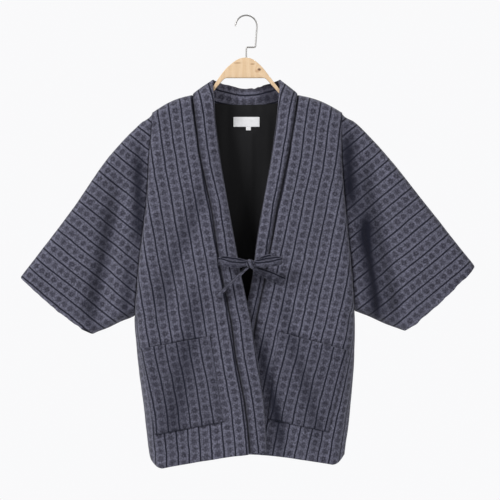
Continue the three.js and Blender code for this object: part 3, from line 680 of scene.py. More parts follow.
# A point of the back. inward is 0 at the side and 1 at the middle.
def backPlace(side, drop, inward, roundness):
    out = side["outlineAt"](shoulder["tipDown"] + drop) * (1 - inward)
    ridge, hollow = backRidge(side, inward)
    down = mix(ridge, hemAt(side, inward), drop / side["bodyDrop"])
    cover = drop + (neckline["drop"] + neckline["rise"]) * hollow
    bulge = neckline["bulge"] * hollow * np.clip(1 - drop / neckline["fade"], 0, 1)
    full = backDepth(down) * rounded(cover, shoulder["roll"]) + bulge
    fold = foldAt(backFolds, side["sign"] * out, down) * smooth(drop, 60, 160)
    return stack(side["sign"] * out, mix(armholeDepth(side, drop), full - fold, roundness), -down)


sleeveJoin = 0.0635  # the share of a sleeve's length over which it takes the armhole's shape
sleeveTurn = 0.09  # the share of a sleeve's ring that each fold's turn takes


# How far down a sleeve's flattened tube a share of its ring lies.
def tubeFall(share, length):
    roll = shoulder["roll"]
    top = roll * (1 - np.cos(np.clip(share / sleeveTurn, 0, 1) * np.pi / 2))
    low = length - roll * (1 - np.cos(np.clip((1 - share) / sleeveTurn, 0, 1) * np.pi / 2))
    level = mix(roll, length - roll, (share - sleeveTurn) / (1 - 2 * sleeveTurn))
    return np.where(share < sleeveTurn, top, np.where(share > 1 - sleeveTurn, low, level))


# A ring of a sleeve. ringShare is down its flattened tube, face is -1 in front and 1 behind.
def sleevePlace(side, along, ringShare, face):
    topOut, topDown, lowOut, lowDown, depth = (at(along) for at in side["sleeveAt"])
    near = np.clip(1 - along / sleeveJoin, 0, 1)
    acrossOut, acrossDown = lowDown - topDown, topOut - lowOut
    size = np.hypot(acrossOut, acrossDown)
    length = mix(size, side["armDrop"], near)
    fall = tubeFall(ringShare, length)
    share = fall / length
    out, down = mix(topOut, lowOut, share), mix(topDown, lowDown, share)
    out = out + (side["outlineAt"](down) - out) * near
    bow = 4 * smooth(along, 0.6, 1) * np.sin(np.pi * share)  # the cuff's edge bulges a little
    out, down = out + acrossOut / size * bow, down + acrossDown / size * bow
    fold = foldAt(side["sleeveFolds"], out, down) * smooth(along, 0, 0.2)
    return stack(side["sign"] * out, face * tubeLift(fall, length) * (depth - fold), -down)


# Grids and walls

def unit(vectors):
    return vectors / np.maximum(np.linalg.norm(vectors, axis=-1, keepdims=True), 1e-9)


# What is left of vectors once their share along some unit vectors is taken off.
def squareOff(vectors, units):
    return unit(vectors - units * (vectors * units).sum(-1, keepdims=True))


# The direction out of the cloth at each point of a grid.
def normalsOf(points, closed, sense):
    down = np.gradient(points, axis=0)
    if closed:
        across = (np.roll(points, -1, axis=1) - np.roll(points, 1, axis=1)) / 2
    else:
        across = np.gradient(points, axis=1)
    return unit(np.cross(down, across)) * sense


# The direction square to the armhole's curve, where a sleeve and the body meet.
def armholeNormal(side, drop, face):
    step, end = 0.5, side["armDrop"] - 1e-6
    above, below = np.maximum(drop - step, 0), np.minimum(drop + step, end)
    change = armholeDepth(side, below) - armholeDepth(side, above)
    found = unit(stack(0 * drop, face * (below - above), change))
    found[drop <= 0] = (0, 0, 1)
    found[drop >= end] = (0, 0, -1)
    return found


# The same down a whole side of the body, straight out below the underarm.
def sideNormal(side, drop, face):
    beside = (drop <= side["armDrop"])[:, None]
    return np.where(beside, armholeNormal(side, drop, face), (side["sign"], 0, 0))


# The two layers of padded cloth whose outer one a relief lifts.
def padding(points, normals, relief):
    relief = relief[..., None]
    thick = cloth["wall"] - 0.4 * np.minimum(relief, 0)
    return points + normals * relief, points - normals * thick


def addMesh(name, points, faces, uvs, paintedShades, materials, kinds):
    mesh = bpy.data.meshes.new(name)
    mesh.from_pydata((points / metre).tolist(), [], faces)
    for material in materials:
        mesh.materials.append(material)
    slots = np.zeros(len(mesh.polygons), np.int32)
    slots[:] = np.minimum(kinds, len(materials) - 1)
    mesh.polygons.foreach_set("material_index", slots)
    mesh.polygons.foreach_set("use_smooth", np.ones(len(mesh.polygons), bool))
    corner = np.zeros(len(mesh.loops), np.int32)
    mesh.loops.foreach_get("vertex_index", corner)
    layer = mesh.uv_layers.new(name="cloth")
    layer.data.foreach_set("uv", (uvs[corner] / metre).astype(np.float32).ravel())
    # the painted shade of each point, which the striped cotton darkens by
    depths = mesh.attributes.new("paintedShade", "FLOAT", "POINT")
    depths.data.foreach_set("value", paintedShades.astype(np.float32))
    shape = bmesh.new()
    shape.from_mesh(mesh)
    bmesh.ops.recalc_face_normals(shape, faces=shape.faces)
    shape.to_mesh(mesh)
    shape.free()
    piece = bpy.data.objects.new(name, mesh)
    scene.collection.objects.link(piece)
    return piece


# Joins the outer and the inner layer of a piece of cloth into one closed mesh with rounded edges.
# lips says how round the edge is on each side: first row, last column, last row, first column.
def addWall(name, outer, inner, uv, lips, materials, paintedShade=0.0, closed=False):
    rows, columns = outer.shape[:2]
    count = rows * columns
    index = np.arange(count).reshape(rows, columns)
    j = np.arange(columns if closed else columns - 1)
    k = (j + 1) % columns
    quads = np.stack([index[:-1][:, j], index[1:][:, j], index[1:][:, k], index[:-1][:, k]], -1)
    quads = quads.reshape(-1, 4)
    outer, inner, uv = outer.reshape(-1, 3), inner.reshape(-1, 3), uv.reshape(-1, 2)
    paintedShade = np.broadcast_to(paintedShade, (rows, columns)).reshape(-1)
    points, uvs, paintedShades = [outer, inner], [uv, uv], [paintedShade, 0 * paintedShade]
    faces, kinds = [quads, quads[:, ::-1] + count], [np.repeat((0, 1), len(quads))]
    if closed:
        loops = [(index[row], index[within], np.full(columns, lip))
                 for row, within, lip in ((0, 1, lips[0]), (-1, -2, lips[2]))]
    else:
        edges = [index[0, :-1], index[:-1, -1], index[-1, :0:-1], index[:0:-1, 0]]
        within = [index[1, :-1], index[:-1, -2], index[-2, :0:-1], index[:0:-1, 1]]
        lip = np.repeat(lips, [len(edge) for edge in edges])
        loops = [(np.concatenate(edges), np.concatenate(within), lip)]
    total = 2 * count
    for ring, within, lip in loops:
        middle, half = (outer[ring] + inner[ring]) / 2, (outer[ring] - inner[ring]) / 2
        size = np.linalg.norm(half, axis=1, keepdims=True)
        outward = squareOff(outer[ring] - outer[within], half / np.maximum(size, 1e-9))
        rims = [ring]
        for angle in (np.pi / 4, np.pi / 2, 3 * np.pi / 4):
            reach = outward * size * lip[:, None] * math.sin(angle)
            points.append(middle + half * math.cos(angle) + reach)
            uvs.append(uv[ring])
            paintedShades.append(paintedShade[ring])
            rims.append(total + np.arange(len(ring)))
            total += len(ring)
        rims.append(ring + count)
        for a, b in zip(rims, rims[1:]):
            faces.append(np.stack([a, b, np.roll(b, -1), np.roll(a, -1)], -1))
        kinds.append(np.repeat((0, 1), (3 * len(ring), len(ring))))
    points, faces, uvs, paintedShades, kinds = map(np.concatenate, (points, faces, uvs, paintedShades, kinds))
    return addMesh(name, points, faces.tolist(), uvs, paintedShades, materials, kinds)


# A tube of cotton through rings of points, closed at both ends.
def addTube(name, rings, uv, paintedShade):
    count, around = rings.shape[:2]
    index = np.arange(count * around).reshape(count, around)
    beside = np.roll(index, -1, axis=1)
    faces = np.stack([index[:-1], index[1:], beside[1:], beside[:-1]], -1).reshape(-1, 4).tolist()
    faces += [index[0].tolist(), index[-1][::-1].tolist()]
    paintedShades = np.clip(np.broadcast_to(paintedShade, (count, around)), 0, 1).reshape(-1)
    return addMesh(name, rings.reshape(-1, 3), faces, uv.reshape(-1, 2), paintedShades, [cotton], 0)


# The length that a surface hides from the front, so that a pattern keeps its size round a fold.
def hiddenLength(points, axis):
    steps = np.diff(points, axis=axis)
    extra = np.linalg.norm(steps, axis=-1) - np.linalg.norm(steps[..., ::2], axis=-1)
    pad = [(0, 0), (0, 0)]
    pad[axis] = (1, 0)
    return np.pad(np.cumsum(extra, axis=axis), pad)


def place(piece, node, slotName):
    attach(piece, "root")
    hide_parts(node)
    return piece


# A piece of the striped cotton, with black lining inside unless it has one layer.
def sewCotton(node, layers, uv, lips, paintedShade, closed=False, materials=(cotton, liningBlack)):
    piece = addWall(node + "_cloth", *layers, uv, lips, materials, np.clip(paintedShade, 0, 1), closed)
    return place(piece, node, "striped_cotton")


# Fronts

frontSettings = {
    "turns": 10, "arm": 120, "skirt": 96, "roll": 14, "flat": 84,  # steps in each part of the grid
    "collarSeam": (5.6, 1.2, 11),
    "collarGathers": (0.9, 13, 150, 14),
    "armSeam": (1.6, 1.4, 13),
    "armGathers": (0.9, 17, 150, 18),
    "hem": (0.0, 0.8, 9),
    "ripples": [(1.0, 46, 120), (0.5, 21, 62), (0.25, 9, 19)],
    "crowding": 0.035,  # how much closer the stripes lie near the hem
    "lips": (0.1, 0.1, 0.8, 0.1),
}
neckAt = [curve(neckEdge, column) for column in (1, 2, 3)]


# Steps that are closer together near both ends.
def closer(share):
    return share - 0.6 * np.sin(2 * np.pi * share) / (2 * np.pi)


# How far the cloth stands off its plain surface.
def frontRelief(side, drop, dist):
    s, seed = frontSettings, side["seed"]
    toSeam = frontWidth(side, drop) - dist
    relief = seamRelief(toSeam, *s["collarSeam"]) + gathers(seed, drop, toSeam, *s["collarGathers"])
    beside = seamRelief(dist, *s["armSeam"]) + gathers(seed + 1, drop, dist, *s["armGathers"])
    relief = relief + beside * smooth(side["armDrop"] - drop, -5, 30)
    relief = relief + ripples(seed + 2, dist, shoulder["tipDown"] + drop, s["ripples"])
    relief = relief + seamRelief(side["bodyDrop"] - drop, *s["hem"])
    return relief * smooth(drop, 0, 14)


# Normals at the collar's seam, turned square to the band.
def squareTo(normals, seam, edge):
    normals = squareOff(normals, unit(edge - seam))
    normals[np.abs(seam[..., 1]) < cloth["gap"], 1] = 0
    return unit(normals)


# The collar's free edge. turn is below 0 down the front, where drop places it,
# and above 0 round the neck.
def collarEdge(side, turn, drop):
    turn, drop = np.broadcast_arrays(np.asarray(turn, float), np.asarray(drop, float))
    own = np.where(turn > 0, collarTurnDrop, drop)
    seam = frontPlace(side, own, frontWidth(side, own))
    edgeOut = side["edgeAt"](-seam[..., 2])
    chest = stack(side["sign"] * edgeOut, seam[..., 1] + collarTuck, seam[..., 2])
    out, y, down = (at(turn) for at in neckAt)
    neck = stack(side["sign"] * out, y, -down)
    return mix(chest, neck, np.clip(turn / neckEdge[0][0], 0, 1)[..., None])


# Across the stripes from the grain, and along them down the front.
def clothMap(side, points, start):
    lean = math.radians(side["lean"])
    hidden, fall = hiddenLength(points, 1), hiddenLength(points, 0)
    hidden = hidden[:, -1:] - hidden
    out, down = side["sign"] * points[..., 0], -points[..., 2]
    crowding = 1 + frontSettings["crowding"] * smooth(down, 620, 820)
    across = (out - side["grainAt"](down)) * crowding + hidden
    along = down * math.cos(lean) - (out + hidden) * math.sin(lean) + fall
    return np.stack([across - start, along], axis=-1)


# The front's cloth in the shade round a pocket: a line above its mouth and a thinner one below it.
def pocketShade(side, points):
    out, down = side["sign"] * points[..., 0], -points[..., 2]
    outerTop, innerTop, innerLow, outerLow = side["pocket"]
    sag = 1.5 * ripple(87, out, 0 * out, 15, 30)
    shade = 0
    edges = ((outerTop, innerTop, 0.75, -1), (outerLow, innerLow, 0.5, 1))
    for start, end, strength, sense in edges:
        share = (out - start[0]) / (end[0] - start[0])
        away = (down - mix(start[1], end[1], share) - sag) * sense
        within = smooth(share, -0.03, 0.02) * smooth(share, 1.03, 0.98)
        shade = shade + strength * within * bell(np.maximum(away, 0), 2.2) * (away > -6)
    return shade


# How much shade is painted in the armhole's seam, at a distance from it.
def armShade(side, drops, distance, strength):
    return strength * bell(distance, 2.2) * smooth(side["armDrop"] - drops, -5, 20)


def foldShade(points):
    return foldAt(frontShades, points[..., 0], -points[..., 2])


def makeFront(side):
    s = frontSettings
    rows = bodyRows(side, s)
    width = frontWidth(side, rows)[:, None]
    rolled = np.broadcast_to(curlSteps(body["roll"], s["roll"]), (len(rows), s["roll"]))
    flat = mix(body["roll"], width, closer(np.linspace(0, 1, s["flat"] + 1)))
    dist = np.concatenate([rolled, flat], axis=1)
    drops = np.broadcast_to(rows[:, None], dist.shape)
    points = frontPlace(side, drops, dist)
    normals = normalsOf(points, False, -side["sign"])
    # the edges stand a hair off the pieces that are sewn to them
    shy = cloth["gap"] / 2
    points[:, 0] -= (side["sign"] * shy, shy, 0)
    points[0, :, 1] = -shy
    normals[:, 0] = sideNormal(side, rows, -1)
    normals[0] = (0, 0, 1)
    edge = collarEdge(side, 1 - rows / collarTurnDrop, rows)
    normals[:, -1] = squareTo(normals[:, -1], points[:, -1], edge)
    layers = padding(points, normals, frontRelief(side, drops, dist))
    # painted shade: a dark line along the collar's seam, a faint one along the armhole's, lines
    # round the pocket and patches in the lee of folds
    paintedShade = 0.95 * bell(width - dist, 2.6) + armShade(side, drops, dist, 0.2)
    paintedShade = paintedShade + pocketShade(side, points) + foldShade(points)
    return sewCotton("front_" + side["name"], layers, clothMap(side, points, 0), s["lips"], paintedShade)


fronts = {side["name"]: makeFront(side) for side in (rightSide, leftSide)}
print("fronts made")


# Back

backSettings = {
    "turns": 10, "arm": 110, "skirt": 88, "roll": 12, "shoulder": 24, "neck": 36,
    "stripes": (-114, 106, 9),  # a line on each shoulder, and how many widths lie between them
    "armSeam": (1.2, 0.9, 12),
    "armGathers": (0.6, 17, 150, 18),
    "neckSeam": (3.6, 1.0, 10),
    "hem": (0.0, 0.8, 9),
    "ripples": [(1.3, 52, 150), (0.6, 24, 70), (0.25, 9, 19)],
    "lips": (0.1, 0.1, 0.8, 0.1),
}
shoulderColumns = backSettings["roll"] + backSettings["shoulder"]  # from the side in to the neck
middleColumn = shoulderColumns + backSettings["neck"]
lastColumn = 2 * middleColumn
neckColumns = np.arange(shoulderColumns, lastColumn - shoulderColumns + 1)


# How far round the neck a column of the back is: 0 on the shoulder, 1 at the middle.
def neckTurn(columns):
    steps = np.minimum(columns, lastColumn - columns) - shoulderColumns
    return 1 - np.cos(steps / backSettings["neck"] * np.pi / 2)


# The back from one side to its middle, where both halves have the same rows.
def backHalf(side, other):
    s = backSettings
    rows = bodyRows(side, s)
    otherRows = bodyRows(other, s) / other["bodyDrop"] * side["bodyDrop"]
    middle = (rows + otherRows) / 2
    outer = side["outlineAt"](shoulder["tipDown"] + rows)[:, None]
    rolled = curlSteps(body["roll"], s["roll"]) / outer
    flat = mix(body["roll"] / outer, side["neckShare"], np.linspace(0, 1, s["shoulder"] + 1)[:-1])
    neck = mix(side["neckShare"], 1, neckTurn(np.arange(shoulderColumns, middleColumn + 1)))
    neck = np.broadcast_to(neck, (len(rows), s["neck"] + 1))
    inward = np.concatenate([rolled, flat, neck], axis=1)
    roundness = np.ones(middleColumn + 1)
    roundness[: s["roll"]] = np.sin(np.linspace(0, np.pi / 2, s["roll"] + 1))[:-1]
    drops = mix(rows[:, None], middle[:, None], smooth(inward, 0.45, 1))
    return backPlace(side, drops, inward, roundness), drops


def makeBack():
    s = backSettings
    halves = (backHalf(rightSide, leftSide), backHalf(leftSide, rightSide))
    points, drops = (np.concatenate([a, b[:, -2::-1]], axis=1) for a, b in zip(*halves))
    normals = normalsOf(points, False, -1)
    shy = cloth["gap"] / 2
    for side, column in ((rightSide, 0), (leftSide, lastColumn)):
        points[:, column] += (-side["sign"] * shy, shy, 0)
        normals[:, column] = sideNormal(side, bodyRows(side, s), 1)
    ridge = np.r_[0:shoulderColumns + 1, lastColumn - shoulderColumns:lastColumn + 1]
    points[0, ridge, 1] = shy
    normals[0, ridge] = (0, 0, 1)
    onRight = neckColumns <= middleColumn
    for side, columns in ((rightSide, neckColumns[onRight]), (leftSide, neckColumns[~onRight])):
        edge = collarEdge(side, 1 + neckTurn(columns), 0)
        normals[0, columns] = squareTo(normals[0, columns], points[0, columns], edge)
    out, down = points[..., 0], -points[..., 2]
    toSide = np.where(out < 0, -points[:, :1, 0], points[:, -1:, 0]) - np.abs(out)
    inNeck = np.isin(np.arange(lastColumn + 1), neckColumns)
    relief = seamRelief(toSide, *s["armSeam"]) + gathers(31, drops, toSide, *s["armGathers"])
    relief = relief * smooth(rightSide["armDrop"] - drops, -5, 30)
    relief += ripples(32, out, down, s["ripples"]) + inNeck * seamRelief(drops, *s["neckSeam"])
    relief += seamRelief(rightSide["bodyDrop"] - drops, *s["hem"])
    relief *= np.where(inNeck, smooth(drops, -1, 6), smooth(drops, 0, 14))
    first, final, count = s["stripes"]
    hidden = hiddenLength(points, 1)
    across = out + hidden - hidden[:, [middleColumn]]
    across = (across - first) / (final - first) * count * cottonSettings["stripe"]
    uv = np.stack([across, down + hiddenLength(points, 0)], axis=-1)
    # painted shade along the armhole's seam and in the neck's seam under the collar
    paintedShade = armShade(rightSide, drops, toSide, 0.5) + inNeck * 0.85 * bell(drops, 2.2)
    return sewCotton("back", padding(points, normals, relief), uv, s["lips"], paintedShade), points, normals


back, backPoints, backNormals = makeBack()
print("back made")


# Sleeves

sleeveSettings = {
    "around": 96, "turns": 10, "along": 100,
    "lengths": (430, 95),  # from the armhole to the cuff, along the top and along the underarm
    "armSeam": (1.8, 1.2, 11),
    "armGathers": (1.1, 15, 60, 22),
    "hollow": (2.0, 24, 26),  # the dip past the seam's puff: its depth, distance and reach
    "ripples": [(1.2, 44, 95), (0.6, 20, 46), (0.25, 9, 17)],
    "cuff": (0.0, 1.0, 12),
    "cuffGathers": (1.1, 24, 80, 30),
    "lips": (0.1, 0, 0.85, 0),
}


# The cloth of a sleeve that the front hides, measured on each face from the middle of that face.
def sleeveHidden(points, half):
    steps = np.diff(points, axis=1, append=points[:, :1])
    extra = np.linalg.norm(steps, axis=-1) - np.linalg.norm(steps[..., ::2], axis=-1)
    hidden = np.zeros(points.shape[:2])
    for first, sense in ((0, 1), (half, -1)):
        run = np.pad(np.cumsum(extra[:, first:first + half], axis=1), ((0, 0), (1, 0)))
        columns = np.arange(first, first + half + 1) % (2 * half)
        hidden[:, columns] = sense * (run - run[:, [(half + 1) // 2]])
    return hidden


def makeSleeve(side):
    s, seed = sleeveSettings, side["seed"] + 30
    share = np.concatenate([
        np.linspace(0, sleeveTurn, s["turns"] + 1)[:-1],
        np.linspace(sleeveTurn, 1 - sleeveTurn, s["around"] + 1),
        np.linspace(1 - sleeveTurn, 1, s["turns"] + 1)[1:],
    ])
    around = np.concatenate([share, share[-2:0:-1]])
    face = np.repeat((-1.0, 1.0), (len(share), len(share) - 2))
    along = np.linspace(0, 1, s["along"] + 1)[:, None] ** 1.1
    points = sleevePlace(side, along, around, face)
    normals = normalsOf(points, True, -side["sign"])
    drops = tubeFall(around, side["armDrop"])
    ahead, rear = (face < 0), (face > 0)
    start = np.where(ahead[:, None], armholeNormal(side, drops, -1), armholeNormal(side, drops, 1))
    points[0, :, 0] += side["sign"] * cloth["gap"] / 2
    normals = unit(mix(normals, start, np.clip(1 - along / 0.03, 0, 1)[..., None]))
    x, z = points[..., 0], points[..., 2]
    top, low = s["lengths"]
    reach, toCuff = along * mix(top, low, around), (1 - along) * top
    # the rear's unevenness is taken from elsewhere in the same lattices
    depth, width = s["hollow"][0], s["hollow"][2]
    relief = seamRelief(reach, *s["armSeam"])
    relief += gathers(seed, drops + 630 * rear, reach, *s["armGathers"])
    relief -= depth * bell(reach - s["hollow"][1], width) * (1 - np.exp(-reach / 6))
    relief += ripples(seed + 1, x + 280 * rear, z, s["ripples"]) + seamRelief(toCuff, *s["cuff"])
    relief += gathers(seed + 4, drops + 350 * rear, toCuff, *s["cuffGathers"])
    fromFold = np.minimum(drops, side["armDrop"] - drops)
    relief *= (0.4 + 0.6 * smooth(fromFold, 0, 18)) * smooth(along, -0.002, 0.006)
    # the cuff's edge waves in and out a little
    topOut, topDown, lowOut, lowDown, _ = (at(1.0) - at(0.9) for at in side["sleeveAt"])
    onward = np.array([side["sign"] * (topOut + lowOut), 0, -(topDown + lowDown)])
    wave = ripple(seed + 5, drops + 350 * rear, 0 * toCuff, 27, 80) * np.exp(-toCuff / 14)
    points = points + unit(onward) * wave[..., None]
    lean = math.radians(side["sleeveLean"])
    across = np.abs(x) * math.cos(lean) - z * math.sin(lean)
    down = -np.abs(x) * math.sin(lean) - z * math.cos(lean)
    uv = np.stack([across, down + sleeveHidden(points, len(share) - 1)], axis=-1)
    # painted shade along the armhole's seam, and in the lee of the sleeve's folds on its front face
    paintedShade = 0.5 * bell(reach, 2.2) + foldAt(side["sleeveShades"], np.abs(x), -z) * ahead
    layers = padding(points, normals, relief)
    return sewCotton("sleeve_" + side["name"], layers, uv, s["lips"], paintedShade, closed=True)


sleeves = {side["name"]: makeSleeve(side) for side in (rightSide, leftSide)}
print("sleeves made")


# Collar

collarSettings = {
    "front": 3.0, "back": 9.0,  # how far the band's faces stand out from the cloth's surface
    "foot": -5.6,  # how deep its front starts at the seam
    "full": 38,  # the width at which it is as thick as it gets
    "rimDepth": 7.5,
    "swell": 1.6,
    "rearLine": 8,  # from a line of the rear's stripes to the free edge
    "outer": 26, "rim": 8, "inner": 20,  # steps over its front, round its edge and behind
    # out, width and depth of each crease at the back of the neck, and the width of its shade
    "creases": [(17, 3.5, 2.6, 2), (29, 3, 2.0, 1.6)],
}


# The band's section, from its seam over its front to its free edge and back behind.
# Each column has its reach from the seam, its lift out of the cloth and its place in the stripes.
def collarSection(width, line):
    s = collarSettings
    front, behind, gap = s["front"], s["back"], cloth["gap"]
    scale = np.minimum(1, width / s["full"])
    rimDepth = s["rimDepth"] * scale
    flat = width - rimDepth
    rearStart = 2 * cottonSettings["stripe"] - s["rearLine"]
    columns = []
    for share in np.linspace(0, 1, s["outer"] + 1)[:-1] ** 1.5:
        reach = mix(gap, flat, share)
        swell = s["swell"] * np.sin(np.pi * np.clip(share * 1.05, 0, 1)) ** 0.8 * scale
        lift = mix(s["foot"], front, 1 - np.exp(-(reach - gap) / 2.0)) + swell
        columns.append((reach, lift, reach - line))
    for angle in np.linspace(0, np.pi, s["rim"] + 1):
        lift = (front - behind) / 2 + (front + behind) / 2 * math.cos(angle) + 0 * width
        across = mix(flat - line, rearStart, angle / np.pi)
        columns.append((flat + rimDepth * math.sin(angle), lift, across))
    for share in np.linspace(0, 1, s["inner"] + 1)[1:]:
        reach = mix(flat, gap, share)
        swell = math.sin(math.pi * share) ** 0.8 * scale
        lift = 1.6 * np.exp(-(reach - gap) / 3) - swell - behind
        columns.append((reach, lift, rearStart + flat - reach))
    return (np.stack(parts, -1) for parts in zip(*columns))


# The band's seam, its free edge, the way out of the cloth and the stripes' first line,
# from the back of the neck round to the hem.
def collarHalf(side, columns):
    rows = bodyRows(side, frontSettings)
    near = frontWidth(side, rows)[:, None] - np.array([6, 3, 0])
    points = frontPlace(side, rows[:, None] + 0 * near, near)
    normals = normalsOf(points, False, -side["sign"])
    points[0, :, 1] = -cloth["gap"] / 2
    normals[0] = (0, 0, 1)
    seam = points[:, -1]
    edge = collarEdge(side, 1 - rows / collarTurnDrop, rows)
    normal = squareTo(normals[:, -1], seam, edge)
    seams = np.concatenate([seam[::-1], backPoints[0, columns]])
    edges = np.concatenate([edge[::-1], collarEdge(side, 1 + neckTurn(columns), 0)])
    outs = np.concatenate([normal[::-1], backNormals[0, columns]])
    downs = np.concatenate([-seam[::-1, 2], np.full(len(columns), side["collarLine"][0][0])])
    return seams, edges, outs, side["collarLineAt"](downs)


def lengthAlong(points):
    return np.concatenate([[0], np.cumsum(np.linalg.norm(np.diff(points, axis=0), axis=1))])


def makeCollar():
    s = collarSettings
    right = collarHalf(rightSide, neckColumns[neckColumns <= middleColumn][1:])
    left = collarHalf(leftSide, neckColumns[neckColumns > middleColumn][::-1][1:])
    seams, edges, outs, line = (np.concatenate([a, b[::-1]]) for a, b in zip(right, left))
    width, inward = np.linalg.norm(edges - seams, axis=1), unit(edges - seams)
    outs = squareOff(outs, inward)
    reach, lift, across = collarSection(width, line)
    run = lengthAlong((seams + edges) / 2)[:, None]
    ahead = np.arange(reach.shape[1]) <= s["outer"] + s["rim"] / 2
    uneven = ripples(61, run, reach, [(0.8, 34, 30), (0.45, 14, 16)])
    uneven = uneven + 0.7 * ripple(63, run, 0 * reach, 11, 30) * np.exp(-reach / 8)
    lift = lift + np.where(ahead, 1, -1) * uneven
    # flatter where it lies on the shoulders
    ridge = bell(seams[:, 2] + shoulder["neckDown"], 9) * (np.abs(seams[:, 0]) > 90)
    lift = lift * (1 - 0.55 * ridge[:, None] * ahead)
    rings = seams[:, None] + inward[:, None] * reach[..., None] + outs[:, None] * lift[..., None]
    x, z = rings[..., 0].copy(), rings[..., 2]
    behind = smooth(rings[..., 1], 5, 20)
    # the free edge droops a little at the back of the neck, where the band creases
    droop = sum(depth * bell(x - out, wide) for out, wide, depth, _ in s["creases"])
    z -= behind * smooth(z, -165, -145) * (droop + 0.7 * ripple(64, x, 0 * x, 11, 30))
    # painted shade in the creases at the back of the neck, along the seam on the band's front, and
    # on its inner face towards the wearer's left
    crease = sum(bell(x - out, shadeWide) for out, _, _, shadeWide in s["creases"])
    paintedShade = ahead * (0.95 * bell(reach - 0.3, 2.4) + 0.5 * bell(reach - 4.6, 0.9))
    paintedShade = paintedShade + 0.5 * crease * behind * smooth(z, -160, -150)
    paintedShade = paintedShade + 0.6 * smooth(x, 8, 45) * behind * smooth(z, -185, -168)
    uv = np.stack([across, run + 0 * across], axis=-1)
    piece = place(addTube("collar_band", rings, uv, paintedShade), "collar", "striped_cotton")


makeCollar()
print("collar made")


# Pockets

pocketSettings = {
    "rows": 84, "columns": 76,
    "hem": 22,  # from the mouth down to its line of stitches
    "stitch": 2.8,  # from the other edges in to theirs
    "gape": 2.6,  # how far the mouth stands open
    "edgeThick": 1.5,
    "base": 0.16,  # how much darker its cloth looks than the front's
    "lips": (0.8, 0.7, 0.7, 0.7),
}


# Where on a front a place seen from ahead lies.
def frontFind(side, out, down):
    drop = down - shoulder["tipDown"]
    for _ in range(12):
        dist = side["outlineAt"](shoulder["tipDown"] + drop) - out
        inward = dist / frontWidth(side, drop)
        ridge, hem = shoulderDown(inward), hemAt(side, inward)
        drop = (down - ridge) / (hem - ridge) * side["bodyDrop"]
    return drop, dist


def makePocket(side):
    s, seed = pocketSettings, side["seed"] + 60
    a = np.linspace(0, 1, s["columns"] + 1)[None, :]
    b = np.linspace(0, 1, s["rows"] + 1)[:, None]
    outerTop, innerTop, innerLow, outerLow = (np.array(corner, float) for corner in side["pocket"])
    upper, lower = mix(outerTop, innerTop, a[..., None]), mix(outerLow, innerLow, a[..., None])
    seen = mix(upper, lower, b[..., None])
    length, breadth = np.linalg.norm(outerLow - outerTop), np.linalg.norm(innerTop - outerTop)
    across, toTop, toLow = a * breadth, b * length, (1 - b) * length
    toSide = np.minimum(a, 1 - a) * breadth
    edge = np.minimum(toSide, toLow)
    sag = (1.6 * np.sin(np.pi * a) + 1.3 * ripple(seed, across, 0 * a, 34, 40)) * (1 - b) ** 4
    drops, dist = frontFind(side, seen[..., 0], seen[..., 1] + sag)
    points = frontPlace(side, drops, dist)
    normals = normalsOf(points, False, -side["sign"])
    lift = cloth["gap"] + s["gape"] * bell(toTop, 16) * np.sin(np.pi * a) ** 0.7
    lift = lift + 0.5 * (1 - np.exp(-edge / 12)) * (1 + ripple(seed + 1, across, toTop, 40, 60))
    lift = (lift + frontRelief(side, drops, dist))[..., None]
    seam = bell(edge - s["stitch"], 1.0) + bell(toTop - s["hem"], 1.1) * 0.8
    thick = mix(s["edgeThick"], cloth["pocket"], 1 - np.exp(-edge / 6)) - 0.8 * seam
    thick = thick + 0.4 * ripple(seed + 2, across, toTop, 13, 16) * np.exp(-edge / 14)
    thick = (thick + 0.5 * bell(toTop, 9))[..., None]
    layers = (points + normals * (lift + thick), points + normals * lift)
    # painted shade along the pocket's lower edge and sides and in the lee of the front's folds,
    # over an even darkening of the whole pocket
    paintedShade = s["base"] + 0.45 * bell(toLow, 1.8) + 0.3 * bell(toSide, 1.6) + foldShade(points)
    uv = clothMap(side, points, side["pocketStart"])
    return sewCotton("pocket_" + side["name"], layers, uv, s["lips"], paintedShade, materials=(cotton,))


pockets = {side["name"]: makePocket(side) for side in (rightSide, leftSide)}
print("pockets made")


# Lining and label

liningSettings = {
    "behind": 0.6,  # from the back's own inner face
    "seamOut": 2.7,
    "labelDown": 216,
    # width and height, thickness, and how deep its edge is stitched
    "label": ((54, 20), 0.8, 0.35),
    "tab": ((10, 7), 0.7, 0.1),
    "tabOut": 4,
    "cell": 1.2,  # the label's grid
}
plainLips = (0.3, 0.3, 0.3, 0.3)


# How far the lining stands off the back, seen from inside the jacket.
def liningLift(out, down):
    s = liningSettings
    folds = 1.5 + ripples(91, out, down, [(1.5, 27, 210), (0.7, 12, 130)])
    pleats = 0.8 * ripple(93, out, down, 9, 60) * np.exp(-np.maximum(down - 175, 0) / 40)
    seam = 0.9 * bell(out - s["seamOut"] - 7, 5) - 1.6 * bell(out - s["seamOut"], 1.5)
    calm = smooth(np.abs(out), 40, 26) * smooth(np.abs(down - s["labelDown"] - 3), 28, 15)
    return mix(np.maximum(folds + pleats + seam, 0.1), 1.5, calm * 0.9)


def makeLining():
    edge = backSettings["roll"] + 2
    points, normals = (grid[0:-4, edge:-edge] for grid in (backPoints, backNormals))
    out, down = points[..., 0], -points[..., 2]
    lift = liningLift(out, down)[..., None]
    wall = cloth["wall"] + liningSettings["behind"]
    outer = points - normals * (wall + 0.5 * lift)
    inner = points - normals * (wall + cloth["liningWall"] + lift)
    uv = np.stack([out, down], axis=-1)
    piece = addWall("lining_cloth", outer, inner, uv, plainLips, [liningBlack])
    return place(piece, "lining_back", "lining")


# Where on the back a place seen from ahead lies.
def backFind(side, out, down):
    drop = down - shoulder["tipDown"]
    for _ in range(14):
        inward = 1 - np.abs(out) / side["outlineAt"](shoulder["tipDown"] + drop)
        ridge, _ = backRidge(side, inward)
        drop = (down - ridge) / (hemAt(side, inward) - ridge) * side["bodyDrop"]
    return drop, inward


